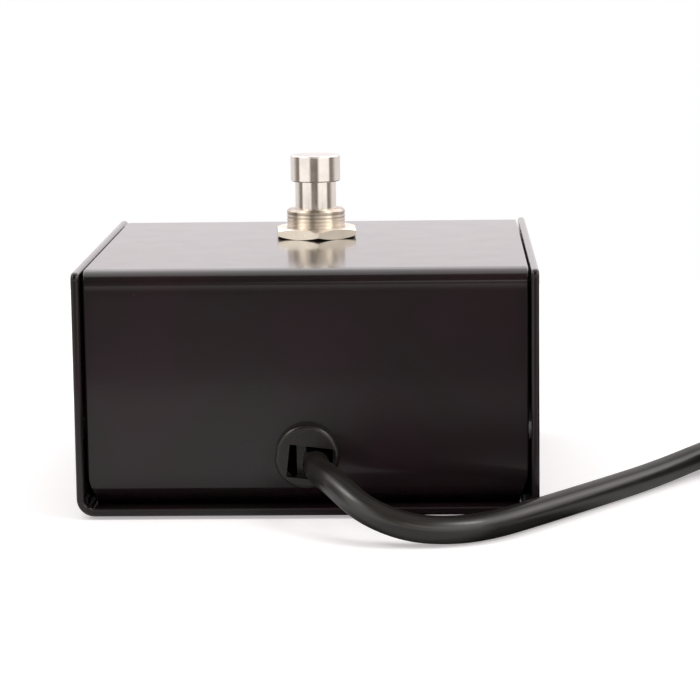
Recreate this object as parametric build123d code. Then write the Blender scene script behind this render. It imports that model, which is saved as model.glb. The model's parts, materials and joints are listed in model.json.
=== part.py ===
from build123d import *
from functools import cache
from math import cos, pi, radians, sin, sqrt, tan
import os

# A tap tempo foot switch: a bent steel case, a momentary push switch on its top and a cord
# that leaves the rear panel and ends in a jack plug.
# Lengths are in millimetres. +Z is up and -Y is the rear, where the cord leaves. The origin is
# on the floor, under the middle of the case.

# Case
CASE_WIDTH = 88.0  # over the tray's side walls
CASE_DEPTH = 88.0  # rear to front, over the tray's lips
CASE_HEIGHT = 46.8  # from the tray's underside to the top edges of its walls
SHEET = 1.5  # thickness of the steel
TRAY_INNER_BEND = 1.9
COVER_INNER_BEND = 1.5  # at the top
COVER_FOOT_BEND = 2.5  # inside the bends between its panels and its flanges
LIP = 2.5  # how far the tray reaches past the rear and front panels
SIDE_GAP = 0.45  # between the cover and each side wall
BEND_GAP = 0.15  # between the cover's lower corners and the tray's bends
DRAWN_HEIGHT = 8.0  # height on the panels' sides over which they draw in to clear the bends
FLANGE = 13.0  # how far the cover's bottom flanges reach in from its panels
EDGE_ROUND = 0.35  # rounding of the cover's cut and coated edges
TRAY_EDGE_ROUND = 0.6
WALL_CORNER = 1.5  # rounding of the side walls' upper corners, seen from the side
FIT = 0.05  # radial clearance of a shaft in its hole, and of a screw in its thread
CUT_OVERRUN = 1.0  # how far a cutting tool runs past a face

# Foot pads, stuck under the tray
FOOT_DIAMETER = 11.0
FOOT_THICKNESS = 0.6
FOOT_ROUND = 0.15
FOOT_INSET_X = 15.0  # from the tray's side to a pad's centre
FOOT_INSET_Y = 15.5  # from the tray's rear edge to a pad's centre

# Cover screws and their captive nuts
SCREW_DIAMETER = 3.0
SCREW_LENGTH = 6.0
SCREW_HEAD_DIAMETER = 5.5
SCREW_HEAD_HEIGHT = 1.35
SCREW_HEAD_RIM = 0.2
SCREW_TIP_CHAMFER = 0.4
SCREW_INSET = 7.5  # from a panel's outer face to the screws behind it
SCREW_SPACING_X = 36.0
RECESS_WIDTH = 0.6
RECESS_LENGTH = 2.6
RECESS_DEPTH = 0.9
HEAD_FIT = 0.1  # between a screw's head and its countersink
SCREW_NUT_FLATS = 5.5
SCREW_NUT_HEIGHT = 2.4
SCREW_NUT_CHAMFER = 0.3

# Push switch: the threaded bushing and what clamps it to the cover
SWITCH_Y = 11.8  # of the switch's axis, towards the front
THREAD_DIAMETER = 12.0
THREAD_PITCH = 0.75
THREAD_DEPTH = 0.1
BUSHING_ABOVE = 5.8  # how far the bushing stands above the cover
BUSHING_BELOW = 7.2  # from the cover's top face down to the switch's frame
BUSHING_CHAMFER = 0.4
BUSHING_RIM = 0.3  # plain band under the chamfer, where the thread has run out
SPIGOT_DIAMETER = 10.0
PANEL_HOLE_FIT = 0.1
NUT_FLATS = 16.0
NUT_THICKNESS = 2.1
NUT_CORNER_CHAMFER = 0.6
NUT_FACE_SHARE = 0.99  # of the distance across the flats, where the chamfers begin
NUT_TURN = 4.9  # degrees that a corner is turned away from the rear
WASHER_DIAMETER = 18.4
WASHER_THICKNESS = 0.6
WASHER_TEETH = 16
WASHER_NOTCH_DEPTH = 1.3
WASHER_NOTCH_WIDTH = 1.1

# Plunger
STEM_DIAMETER = 8.4
STEM_EXPOSED = 5.7  # between the bushing and the cap
CAP_DIAMETER = 10.2
CAP_HEIGHT = 5.35
CAP_ROUND = 0.3
CAP_LOWER_ROUND = 0.25
TRAVEL = 3.0
CONTACT_LAG = 0.6  # how far the moving contact stays behind at the end of the travel
STEM_FOOT = 1.4  # how far the stem reaches below the frame
CLIP_GROOVE_DIAMETER = 7.0
CLIP_DIAMETER = 10.8
CLIP_THICKNESS = 0.8
CLIP_MOUTH = 5.6
CLIP_GAP = 0.05  # between the clip and what it stops against

# Pusher and moving contact
PUSHER_DIAMETER = 4.0
PUSHER_PRESSED = 3.0  # length inside the stem
PUSHER_COLLAR_DIAMETER = 6.4
PUSHER_COLLAR_HEIGHT = 0.8
PUSHER_COLLAR_GAP = 0.2  # under the case's inner floor, at rest
PUSHER_NECK_DIAMETER = 2.4
PUSHER_HEAD_DIAMETER = 3.8
PUSHER_HEAD_HEIGHT = 0.8
PUSHER_FIT = 0.1
CONTACT_SPRING_LENGTH = 2.2
BRIDGE_LENGTH = 11.4
BRIDGE_WIDTH = 3.6
BRIDGE_THICKNESS = 0.5
BRIDGE_HOLE_FIT = 0.15
BUTTON_DIAMETER = 2.2
BUTTON_HEIGHT = 0.6
BUTTON_ROUND = 0.2
BUTTON_SPACING = 8.2
CLOSED_GAP = 0.05  # left between the buttons and the studs at full travel

# Springs, as the sleeves that their coils fill
RETURN_SPRING_DIAMETER = 10.4
RETURN_WIRE_DIAMETER = 0.7
CONTACT_SPRING_DIAMETER = 4.4
CONTACT_WIRE_DIAMETER = 0.35
SPRING_SEAT_GAP = 0.05

# Switch frame, case and base
FRAME_SHEET = 1.0
FRAME_LEG_WIDTH = 9.0
FRAME_TAB = 2.2  # how far the folded tabs reach under the base
FRAME_FIT = 0.05
SWITCH_CASE_LENGTH = 16.0
SWITCH_CASE_WIDTH = 14.2
SWITCH_CASE_ROUND = 0.8
SPRING_CHAMBER_DIAMETER = 11.6
SPRING_CHAMBER_DEPTH = 7.3
INNER_FLOOR = 1.2
CONTACT_CHAMBER_LENGTH = 13.4
CONTACT_CHAMBER_WIDTH = 9.0
BASE_THICKNESS = 1.6
BASE_ROUND = 0.5

# Terminals
TERMINAL_THICKNESS = 0.5
TERMINAL_WIDTH = 3.2
TERMINAL_REACH = 5.8  # from the switch's axis to the lug's outer face
TERMINAL_INNER_END = 2.4  # from the axis to the strip's inner end
LUG_LENGTH = 6.0  # below the base
LUG_HOLE_DIAMETER = 1.5
LUG_HOLE_RISE = 2.2  # of the hole above the lug's end
LUG_SLOT_FIT = 0.05
STUD_HEIGHT = 0.6

# Strain relief in the rear panel
RELIEF_HEIGHT = 11.3  # of its axis above the tray's underside
RELIEF_TURN = 7.0  # degrees, clockwise as seen from the rear
RELIEF_HEAD_DIAMETER = 12.3
RELIEF_HEAD_THICKNESS = 2.6
RELIEF_HEAD_ROUND = 0.8
RELIEF_HEAD_FLAT = 5.95  # from the axis to the flat on the head's left side
RELIEF_BARREL_DIAMETER = 11.0
RELIEF_BARREL_LENGTH = 8.6
RELIEF_BARREL_FLAT = 5.1
RELIEF_HOLE_FIT = 0.1
RELIEF_SNAP_DIAMETER = 11.9
RELIEF_SNAP_LENGTH = 2.4
RELIEF_SNAP_GAP = 0.1
RELIEF_WALL = 0.6  # least wall round the passage
RELIEF_MOUTH_WIDTH = 8.8
RELIEF_MOUTH_HEIGHT = 6.3
RELIEF_MOUTH_SHIFT = 0.93  # of the mouth's middle, to the right of the axis
RELIEF_MOUTH_DROP = 1.0  # of the mouth's middle, below the axis
WEDGE_RECESS = 4.4  # from the head's face to the wedge
WEDGE_LENGTH = 6.4
WEDGE_FIT = 0.05
WEDGE_WIDTH = 1.8
WEDGE_SETBACK = 2.0  # of the wedge's right end, from the cord's axis

# Cord
CORD_DIAMETER = 5.2
CORD_X = 1.7  # of the cord's axis where it leaves the strain relief
CORD_DROP = 1.4  # of that axis, below the strain relief's own
INNER_CORD_REACH = 21.0  # of the jacket, inside the rear panel's outer face
SHRINK_THICKNESS = 0.5
SHRINK_LENGTH = 7.0
SHRINK_OVERHANG = 1.5
WIRE_DIAMETER = 1.5
WIRE_OFFSET = 1.1  # of each wire's axis from the cord's axis
SOLDER_DIAMETER = 3.1

ARC_SHARE = 0.45  # of the shorter run beside a corner, taken by the corner's arc

# The lead's route: a straight run out of the strain relief, the points picked below, and a
# straight run into the coil.
LEAD_EXIT_RUN = 5.3
LEAD_MIDDLE = [
    (3.5, -55.3, 10.8),
    (6.3, -60.4, 9.5),
    (11.5, -65.5, 6.2),
    (19.3, -67.9, 3.4),
    (27.3, -67.1, 2.7),
    (34.5, -62.9, 2.7),
    (42.3, -52.5, 2.7),
    (56.0, -33.6, 2.6),
    (68.0, -16.7, 2.6),
]
LEAD_END_RUN = 15.0
LEAD_HEADING = 54.5  # degrees from +X, where the lead meets the coil
COIL_START = (89.5, 13.4)

# Coil: the cord's unseen length, wound in two layers and held by two ties
COIL_TURN_RADIUS = 42.0  # of the outermost half turn
COIL_GAP = 0.55  # between neighbouring turns
HALF_TURNS = 9  # in each layer, before and after the half turn that climbs
COIL_LIFT = 1.1  # of the coil above the floor, where it lies on its ties
GAP_STEPS = 24  # points on each half turn, where the gap is measured
TIE_THICKNESS = 0.8
TIE_WIDTH = 12.0
TIE_GAP = 0.3  # between a tie and the turns inside it
TIE_ROUND = 2.4

# Tail: from the coil to the plug
TAIL_EXIT_RUN = 13.0  # level, straight on from the coil's end
TAIL_FALL_RUN = 14.0  # down to the plug's height
TAIL_FALL_TURN = 12.5  # degrees, clockwise
TAIL_PLUG_RUN = 12.0  # level, along the plug's axis
TAIL_PLUG_TURN = 12.0  # degrees, clockwise

# Jack plug, along its own axis from the cord to the tip
PLUG_BOOT_DIAMETER = 7.0
PLUG_BOOT_LENGTH = 15.0
PLUG_BOOT_RIBS = 5
PLUG_RIB_DEPTH = 0.6
PLUG_RIB_GAP = 1.2
PLUG_HANDLE_DIAMETER = 11.0
PLUG_HANDLE_LENGTH = 24.0
PLUG_HANDLE_ROUND = 1.2
PLUG_COLLAR_DIAMETER = 9.0
PLUG_COLLAR_LENGTH = 1.4
PLUG_PIN_DIAMETER = 6.35
PLUG_SLEEVE_LENGTH = 20.4
PLUG_SLEEVE_BORE = 4.2
PLUG_PIN_SUNK = 8.0  # length of the sleeve inside the handle
PLUG_ROOT_DIAMETER = 5.6  # of that length
PLUG_INSULATOR_LENGTH = 1.4
PLUG_ROD_DIAMETER = 2.2
PLUG_TIP_SHOULDER = 1.1
PLUG_TIP_NECK_DIAMETER = 4.0
PLUG_TIP_NECK_AT = 3.4  # from the insulator to the neck
PLUG_TIP_BULB_DIAMETER = 5.9
PLUG_TIP_BULB_AT = 5.4
PLUG_TIP_NOSE_DIAMETER = 2.6
PLUG_TIP_LENGTH = 8.8
PLUG_TIP_ROUND = 0.5

# Places that follow from the sizes above
TRAY_Z = FOOT_THICKNESS
FLOOR_TOP_Z = TRAY_Z + SHEET
TOP_Z = TRAY_Z + CASE_HEIGHT
PANEL_Y = CASE_DEPTH / 2 - LIP
COVER_WIDTH = CASE_WIDTH - 2 * SHEET - 2 * SIDE_GAP
SCREW_Y = PANEL_Y - SCREW_INSET
BUSHING_BORE = STEM_DIAMETER + 2 * FIT
FRAME_TOP_Z = TOP_Z - BUSHING_BELOW
FRAME_UNDER_Z = FRAME_TOP_Z - FRAME_SHEET
CHAMBER_FLOOR_Z = FRAME_UNDER_Z - SPRING_CHAMBER_DEPTH
CONTACT_ROOF_Z = CHAMBER_FLOOR_Z - INNER_FLOOR
CLIP_TOP_Z = FRAME_UNDER_Z - CLIP_GAP
STEM_END_Z = FRAME_UNDER_Z - STEM_FOOT - CLIP_GAP
COLLAR_TOP_Z = CONTACT_ROOF_Z - PUSHER_COLLAR_GAP
COLLAR_UNDER_Z = COLLAR_TOP_Z - PUSHER_COLLAR_HEIGHT
BRIDGE_TOP_Z = COLLAR_UNDER_Z - CONTACT_SPRING_LENGTH
BRIDGE_UNDER_Z = BRIDGE_TOP_Z - BRIDGE_THICKNESS
PUSHER_HEAD_TOP_Z = BRIDGE_UNDER_Z - CLIP_GAP
STUD_TOP_Z = BRIDGE_UNDER_Z - BUTTON_HEIGHT - (TRAVEL - CONTACT_LAG) - CLOSED_GAP
STRIP_TOP_Z = STUD_TOP_Z - STUD_HEIGHT
BASE_TOP_Z = STRIP_TOP_Z - TERMINAL_THICKNESS
BASE_UNDER_Z = BASE_TOP_Z - BASE_THICKNESS
LUG_END_Z = BASE_UNDER_Z - LUG_LENGTH
LUG_HOLE_Z = LUG_END_Z + LUG_HOLE_RISE
CAP_UNDER_Z = TOP_Z + BUSHING_ABOVE + STEM_EXPOSED
RELIEF_Z = TRAY_Z + RELIEF_HEIGHT
RELIEF_FACE_Y = -PANEL_Y - RELIEF_HEAD_THICKNESS
CORD_Z = RELIEF_Z - CORD_DROP
INNER_CORD_END_Y = -PANEL_Y + INNER_CORD_REACH
COIL_PITCH = CORD_DIAMETER + COIL_GAP
COIL_Z = CORD_DIAMETER / 2 + COIL_LIFT
TAIL_HEADING = LEAD_HEADING + 180
PLUG_HEADING = TAIL_HEADING - TAIL_FALL_TURN - TAIL_PLUG_TURN
PLUG_Z = PLUG_HANDLE_DIAMETER / 2

FROM_BELOW = (Align.CENTER, Align.CENTER, Align.MIN)


def turned(outline):
    """Turns an outline of (radius, height) points about the Z axis."""
    return revolve(Plane.XZ * make_face(Polyline(*outline, close=True)), Axis.Z)


def rod(diameter, low, high):
    """An upright round rod on the Z axis between two heights."""
    return Pos(0, 0, low) * Cylinder(diameter / 2, high - low, align=FROM_BELOW)


def block(length, width, low, high):
    """An upright block on the Z axis between two heights."""
    return Pos(0, 0, low) * Box(length, width, high - low, align=FROM_BELOW)


def towards_rear(section, front_y, rear_y):
    """Extrudes a section drawn in X and Z between two places along Y."""
    return Pos(0, front_y, 0) * extrude(Plane.XZ * section, amount=front_y - rear_y)


def hex_nut(across_flats, thickness, bore, corner_chamfer, face_share):
    """A nut standing on the XY plane, with both faces chamfered at the corners."""
    corner = across_flats / sqrt(3)
    face = across_flats / 2 * face_share
    blank = turned([
        (0, 0),
        (face, 0),
        (corner, corner_chamfer),
        (corner, thickness - corner_chamfer),
        (face, thickness),
        (0, thickness),
    ])
    prism = extrude(RegularPolygon(corner, 6), amount=thickness)
    return (blank & prism) - rod(bore, -CUT_OVERRUN, thickness + CUT_OVERRUN)


def corner_radii(points):
    """The radius of the arc at each inner point of a route."""
    vectors = [Vector(*point) for point in points]
    runs = [after - before for before, after in zip(vectors, vectors[1:])]
    radii = []
    for before, after in zip(runs, runs[1:]):
        shorter = min(before.length, after.length)
        turn = radians(before.get_angle(after))
        radii.append(ARC_SHARE * shorter / tan(turn / 2))
    return radii


def tube(name, points, diameter):
    """A round tube along straight runs that tangent arcs join."""
    radii = corner_radii(points)
    path = FilletPolyline(*points, radius=radii)
    solid = swept(name, path, diameter)
    print("    corner radii", [round(radius, 1) for radius in radii])
    return solid


def swept(name, path, diameter):
    """Sweeps a round section along a path and compares the volume with section times length."""
    section = Plane(origin=path @ 0, z_dir=path % 0) * Circle(diameter / 2)
    solid = sweep(section, path=path)
    expected = pi * diameter ** 2 / 4 * path.length
    print(name, "length", round(path.length, 1), "volume share", round(solid.volume / expected, 4))
    return solid


def corner_places(spacing_x, y):
    """Four places in a rectangle about the Z axis."""
    return [Pos(x, side * y, 0) for x in (-spacing_x / 2, spacing_x / 2) for side in (-1, 1)]


def screw_places():
    return corner_places(SCREW_SPACING_X, SCREW_Y)


def foot_places():
    return corner_places(CASE_WIDTH - 2 * FOOT_INSET_X, CASE_DEPTH / 2 - FOOT_INSET_Y)


def u_section(width, height, radius):
    """A rectangle that stands on the X axis, with its two lower corners rounded."""
    plain = Pos(0, height / 2) * Rectangle(width, height)
    return fillet(plain.vertices().sort_by(Axis.Y)[:2], radius)


def box_section(width, height, lower, upper):
    """A rectangle about the origin, its lower and its upper corners rounded."""
    plain = Rectangle(width, height)
    rounded = fillet(plain.vertices().sort_by(Axis.Y)[:2], lower)
    return fillet(rounded.vertices().sort_by(Axis.Y)[-2:], upper)


def countersink():
    """The tool that cuts a screw's hole and its countersink into the tray's floor."""
    head = SCREW_HEAD_DIAMETER / 2 + HEAD_FIT
    hole = SCREW_DIAMETER / 2 + HEAD_FIT
    return turned([
        (0, TRAY_Z - CUT_OVERRUN),
        (head, TRAY_Z - CUT_OVERRUN),
        (head, TRAY_Z + SCREW_HEAD_RIM),
        (hole, TRAY_Z + SCREW_HEAD_HEIGHT),
        (hole, FLOOR_TOP_Z + CUT_OVERRUN),
        (0, FLOOR_TOP_Z + CUT_OVERRUN),
    ])


def base_tray():
    """The floor and the two side walls, open to the rear and the front."""
    outer = u_section(CASE_WIDTH, CASE_HEIGHT, TRAY_INNER_BEND + SHEET)
    inner = Pos(0, SHEET) * u_section(CASE_WIDTH - 2 * SHEET, CASE_HEIGHT, TRAY_INNER_BEND)
    tray = Pos(0, 0, TRAY_Z) * towards_rear(outer - inner, CASE_DEPTH / 2, -CASE_DEPTH / 2)
    tray = fillet(tray.edges().filter_by(Axis.X).group_by(Axis.Z)[-1], WALL_CORNER)
    top = TRAY_Z + CASE_HEIGHT
    ends = tray.faces().filter_by(Axis.Y).edges().filter_by_position(Axis.Z, TRAY_Z, top - 2 * WALL_CORNER)
    tops = tray.faces().filter_by(Axis.Z).sort_by(Axis.Z)[-2:].edges().filter_by(Axis.Y)
    corners = tray.edges().filter_by(GeomType.CIRCLE).filter_by_position(Axis.Z, top - 2 * WALL_CORNER, top)
    tray = fillet(ends + tops + corners, TRAY_EDGE_ROUND)
    for place in screw_places():
        tray -= place * countersink()
    return tray


def top_cover():
    """The top, the rear panel, the front panel and the flanges that rest on the tray."""
    depth = 2 * PANEL_Y
    height = TOP_Z - FLOOR_TOP_Z
    outer = box_section(depth, height, COVER_FOOT_BEND + SHEET, COVER_INNER_BEND + SHEET)
    inner = box_section(depth - 2 * SHEET, height - 2 * SHEET, COVER_FOOT_BEND, COVER_INNER_BEND)
    opening = Pos(0, -height / 2) * Rectangle(depth - 2 * FLANGE, 2 * SHEET + COVER_INNER_BEND)
    section = outer - inner - opening
    cover = extrude(Plane.YZ * section, amount=COVER_WIDTH / 2, both=True)
    cover = Pos(0, 0, (TOP_Z + FLOOR_TOP_Z) / 2) * cover
    cover = fillet(cover.faces().filter_by(Axis.X).edges(), EDGE_ROUND)
    side = COVER_WIDTH / 2
    drawn_in = CASE_WIDTH / 2 - SHEET - TRAY_INNER_BEND - BEND_GAP
    arc = TangentArc(
        (side, FLOOR_TOP_Z + DRAWN_HEIGHT),
        (drawn_in, FLOOR_TOP_Z + TRAY_INNER_BEND),
        tangent=(0, -1))
    rest = Polyline(
        (drawn_in, FLOOR_TOP_Z + TRAY_INNER_BEND),
        (drawn_in, FLOOR_TOP_Z - CUT_OVERRUN),
        (side + CUT_OVERRUN, FLOOR_TOP_Z - CUT_OVERRUN),
        (side + CUT_OVERRUN, FLOOR_TOP_Z + DRAWN_HEIGHT),
        (side, FLOOR_TOP_Z + DRAWN_HEIGHT))
    corner = towards_rear(make_face(arc + rest), CASE_DEPTH / 2, -CASE_DEPTH / 2)
    cover -= corner + Rot(0, 0, 180) * corner
    hole = rod(THREAD_DIAMETER + 2 * PANEL_HOLE_FIT, TOP_Z - SHEET - CUT_OVERRUN, TOP_Z + CUT_OVERRUN)
    cover -= Pos(0, SWITCH_Y, 0) * hole
    cover -= relief_round(
        RELIEF_BARREL_DIAMETER + 2 * RELIEF_HOLE_FIT,
        RELIEF_BARREL_FLAT + RELIEF_HOLE_FIT,
        -PANEL_Y + SHEET + CUT_OVERRUN,
        -PANEL_Y - CUT_OVERRUN)
    hole = rod(SCREW_DIAMETER + 2 * HEAD_FIT, FLOOR_TOP_Z - CUT_OVERRUN, FLOOR_TOP_Z + SHEET + CUT_OVERRUN)
    for place in screw_places():
        cover -= place * hole
    return cover


def foot_pads():
    """Four round rubber pads under the tray."""
    pad = rod(FOOT_DIAMETER, 0, FOOT_THICKNESS)
    pad = fillet(pad.edges().sort_by(Axis.Z)[0], FOOT_ROUND)
    return Part() + [place * pad for place in foot_places()]


def cover_screw():
    """A countersunk screw, head down, flush with the tray's underside."""
    screw = turned([
        (0, TRAY_Z),
        (SCREW_HEAD_DIAMETER / 2, TRAY_Z),
        (SCREW_HEAD_DIAMETER / 2, TRAY_Z + SCREW_HEAD_RIM),
        (SCREW_DIAMETER / 2, TRAY_Z + SCREW_HEAD_HEIGHT),
        (SCREW_DIAMETER / 2, TRAY_Z + SCREW_LENGTH - SCREW_TIP_CHAMFER),
        (SCREW_DIAMETER / 2 - SCREW_TIP_CHAMFER, TRAY_Z + SCREW_LENGTH),
        (0, TRAY_Z + SCREW_LENGTH),
    ])
    slot = block(RECESS_LENGTH, RECESS_WIDTH, TRAY_Z - CUT_OVERRUN, TRAY_Z + RECESS_DEPTH)
    return screw - slot - Rot(0, 0, 90) * slot


def cover_screws():
    return Part() + [place * cover_screw() for place in screw_places()]


def captive_nuts():
    """The nuts on the cover's flanges, one over each screw."""
    nut = hex_nut(SCREW_NUT_FLATS, SCREW_NUT_HEIGHT, SCREW_DIAMETER + 2 * FIT, SCREW_NUT_CHAMFER, NUT_FACE_SHARE)
    seat = Pos(0, 0, FLOOR_TOP_Z + SHEET)
    return Part() + [place * seat * nut for place in screw_places()]


def switch_bushing():
    """The threaded bushing, with a spigot that is staked into the switch's frame."""
    crest = THREAD_DIAMETER / 2
    root = crest - THREAD_DEPTH
    top = TOP_Z + BUSHING_ABOVE
    thread_top = top - BUSHING_CHAMFER - BUSHING_RIM
    grooves = int((thread_top - FRAME_TOP_Z) / THREAD_PITCH)
    outline = [(0, FRAME_UNDER_Z), (SPIGOT_DIAMETER / 2, FRAME_UNDER_Z), (SPIGOT_DIAMETER / 2, FRAME_TOP_Z)]
    for index in range(grooves):
        low = thread_top - (grooves - index) * THREAD_PITCH
        outline.append((crest, low))
        outline.append((root, low + THREAD_PITCH / 2))
    outline.insert(3, (crest, FRAME_TOP_Z))
    outline += [(crest, thread_top), (crest, top - BUSHING_CHAMFER), (crest - BUSHING_CHAMFER, top), (0, top)]
    return turned(outline) - rod(BUSHING_BORE, FRAME_UNDER_Z - CUT_OVERRUN, top + CUT_OVERRUN)


def clamp_nut():
    return hex_nut(NUT_FLATS, NUT_THICKNESS, THREAD_DIAMETER + 2 * FIT, NUT_CORNER_CHAMFER, NUT_FACE_SHARE)


def panel_nut():
    """The nut on top of the cover, one corner to the rear."""
    return Pos(0, 0, TOP_Z) * Rot(0, 0, 90 + NUT_TURN) * clamp_nut()


def lock_washer():
    """A toothed washer, pressed against the underside of the cover."""
    high = TOP_Z - SHEET
    low = high - WASHER_THICKNESS
    below = low - CUT_OVERRUN
    above = high + CUT_OVERRUN
    washer = rod(WASHER_DIAMETER, low, high) - rod(THREAD_DIAMETER + 2 * FIT, below, above)
    notch = block(2 * WASHER_NOTCH_DEPTH, WASHER_NOTCH_WIDTH, below, above)
    notch = Pos(WASHER_DIAMETER / 2, 0, 0) * notch
    for tooth in range(WASHER_TEETH):
        washer -= Rot(0, 0, 360 * tooth / WASHER_TEETH) * notch
    return washer


def jam_nut():
    """The nut under the washer."""
    return Pos(0, 0, TOP_Z - SHEET - WASHER_THICKNESS - NUT_THICKNESS) * clamp_nut()


def switch_frame():
    """The steel yoke: a top plate, two legs and the tabs that are folded under the base."""
    inside = SWITCH_CASE_LENGTH / 2 + FRAME_FIT
    outside = inside + FRAME_SHEET
    low = BASE_UNDER_Z - FRAME_SHEET
    plate = block(2 * outside, SWITCH_CASE_WIDTH, FRAME_UNDER_Z, FRAME_TOP_Z)
    leg = Pos(inside + FRAME_SHEET / 2, 0, 0) * block(FRAME_SHEET, FRAME_LEG_WIDTH, low, FRAME_UNDER_Z)
    tab = Pos(outside - (FRAME_TAB + FRAME_SHEET) / 2, 0, 0) * block(
        FRAME_TAB + FRAME_SHEET, FRAME_LEG_WIDTH, low, BASE_UNDER_Z)
    side = leg + tab
    frame = plate + side + Rot(0, 0, 180) * side
    return frame - rod(SPIGOT_DIAMETER, FRAME_UNDER_Z - CUT_OVERRUN, FRAME_TOP_Z + CUT_OVERRUN)


def switch_case():
    """The moulded case: a round chamber above for the spring, an oblong one below for the contacts."""
    case = block(SWITCH_CASE_LENGTH, SWITCH_CASE_WIDTH, BASE_TOP_Z, FRAME_UNDER_Z)
    case = fillet(case.edges().filter_by(Axis.Z), SWITCH_CASE_ROUND)
    case -= rod(SPRING_CHAMBER_DIAMETER, CHAMBER_FLOOR_Z, FRAME_UNDER_Z + CUT_OVERRUN)
    case -= rod(PUSHER_DIAMETER + 2 * PUSHER_FIT, CONTACT_ROOF_Z - CUT_OVERRUN, CHAMBER_FLOOR_Z + CUT_OVERRUN)
    return case - block(CONTACT_CHAMBER_LENGTH, CONTACT_CHAMBER_WIDTH, BASE_TOP_Z - CUT_OVERRUN, CONTACT_ROOF_Z)


def switch_base():
    """The plate that closes the case, with a slot for each terminal."""
    base = block(SWITCH_CASE_LENGTH, SWITCH_CASE_WIDTH, BASE_UNDER_Z, BASE_TOP_Z)
    base = fillet(base.edges().filter_by(Axis.Z), BASE_ROUND)
    slot = block(TERMINAL_THICKNESS + 2 * LUG_SLOT_FIT, TERMINAL_WIDTH + 2 * LUG_SLOT_FIT,
                 BASE_UNDER_Z - CUT_OVERRUN, BASE_TOP_Z + CUT_OVERRUN)
    slot = Pos(TERMINAL_REACH - TERMINAL_THICKNESS / 2, 0, 0) * slot
    return base - slot - Rot(0, 0, 180) * slot


def terminal():
    """The right-hand terminal: a strip on the base and a solder lug below it."""
    length = TERMINAL_REACH - TERMINAL_INNER_END
    strip = Pos(TERMINAL_INNER_END + length / 2, 0, 0) * block(length, TERMINAL_WIDTH, BASE_TOP_Z, STRIP_TOP_Z)
    lug = Pos(TERMINAL_REACH - TERMINAL_THICKNESS / 2, 0, 0) * block(
        TERMINAL_THICKNESS, TERMINAL_WIDTH, LUG_END_Z, STRIP_TOP_Z)
    hole = Pos(TERMINAL_REACH, 0, LUG_HOLE_Z) * Rot(0, 90, 0) * Cylinder(LUG_HOLE_DIAMETER / 2, 2 * CUT_OVERRUN)
    return strip + lug - hole


def terminal_make():
    return terminal()


def terminal_common():
    return Rot(0, 0, 180) * terminal()


def domed_pair(low, high, round_low):
    """Two round contact heads, domed at their lower or their upper end."""
    head = rod(BUTTON_DIAMETER, low, high)
    edge = head.edges().filter_by(GeomType.CIRCLE).sort_by(Axis.Z)[0 if round_low else -1]
    head = Pos(BUTTON_SPACING / 2, 0, 0) * fillet(edge, BUTTON_ROUND)
    return Part() + [head, Rot(0, 0, 180) * head]


def contact_studs():
    """The fixed contacts, on the terminals' strips."""
    return domed_pair(STRIP_TOP_Z, STUD_TOP_Z, False)


def contact_buttons():
    """The moving contacts, under the bar."""
    return domed_pair(BRIDGE_UNDER_Z - BUTTON_HEIGHT, BRIDGE_UNDER_Z, True)


def moving_contact():
    """The bar that bridges the two fixed contacts."""
    bar = block(BRIDGE_LENGTH, BRIDGE_WIDTH, BRIDGE_UNDER_Z, BRIDGE_TOP_Z)
    bar = fillet(bar.edges().filter_by(Axis.Z), BRIDGE_WIDTH / 4)
    hole = PUSHER_NECK_DIAMETER + 2 * BRIDGE_HOLE_FIT
    return bar - rod(hole, BRIDGE_UNDER_Z - CUT_OVERRUN, BRIDGE_TOP_Z + CUT_OVERRUN)


def plunger():
    """The cap and the stem, turned from one bar, with the clip's groove and the pusher's bore."""
    stem = rod(STEM_DIAMETER, STEM_END_Z, CAP_UNDER_Z)
    cap = rod(CAP_DIAMETER, CAP_UNDER_Z, CAP_UNDER_Z + CAP_HEIGHT)
    cap = fillet(cap.edges().sort_by(Axis.Z)[-1], CAP_ROUND)
    cap = fillet(cap.edges().filter_by(GeomType.CIRCLE).sort_by(Axis.Z)[0], CAP_LOWER_ROUND)
    groove = rod(STEM_DIAMETER + 2 * CUT_OVERRUN, CLIP_TOP_Z - CLIP_THICKNESS, CLIP_TOP_Z)
    groove -= rod(CLIP_GROOVE_DIAMETER, CLIP_TOP_Z - 2 * CLIP_THICKNESS, CLIP_TOP_Z + CLIP_THICKNESS)
    bore = rod(PUSHER_DIAMETER, STEM_END_Z - CUT_OVERRUN, STEM_END_Z + PUSHER_PRESSED)
    return stem + cap - groove - bore


def plunger_clip():
    """The open ring in the stem's groove, which stops the plunger at the top of its travel."""
    low = CLIP_TOP_Z - CLIP_THICKNESS
    ring = rod(CLIP_DIAMETER, low, CLIP_TOP_Z)
    ring -= rod(CLIP_GROOVE_DIAMETER, low - CUT_OVERRUN, CLIP_TOP_Z + CUT_OVERRUN)
    mouth = block(CLIP_MOUTH, CLIP_DIAMETER, low - CUT_OVERRUN, CLIP_TOP_Z + CUT_OVERRUN)
    return ring - Pos(0, CLIP_DIAMETER / 2, 0) * mouth


def pusher():
    """The insulating rod, with the collar, the neck and the head that carry the moving contact."""
    parts = [
        rod(PUSHER_DIAMETER, COLLAR_TOP_Z, STEM_END_Z + PUSHER_PRESSED),
        rod(PUSHER_COLLAR_DIAMETER, COLLAR_UNDER_Z, COLLAR_TOP_Z),
        rod(PUSHER_NECK_DIAMETER, PUSHER_HEAD_TOP_Z, COLLAR_UNDER_Z),
        rod(PUSHER_HEAD_DIAMETER, PUSHER_HEAD_TOP_Z - PUSHER_HEAD_HEIGHT, PUSHER_HEAD_TOP_Z),
    ]
    return parts[0] + parts[1] + parts[2] + parts[3]


def spring_sleeve(diameter, wire, low, high):
    """The space that a coil spring fills."""
    return rod(diameter, low, high) - rod(diameter - 2 * wire, low - CUT_OVERRUN, high + CUT_OVERRUN)


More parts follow.
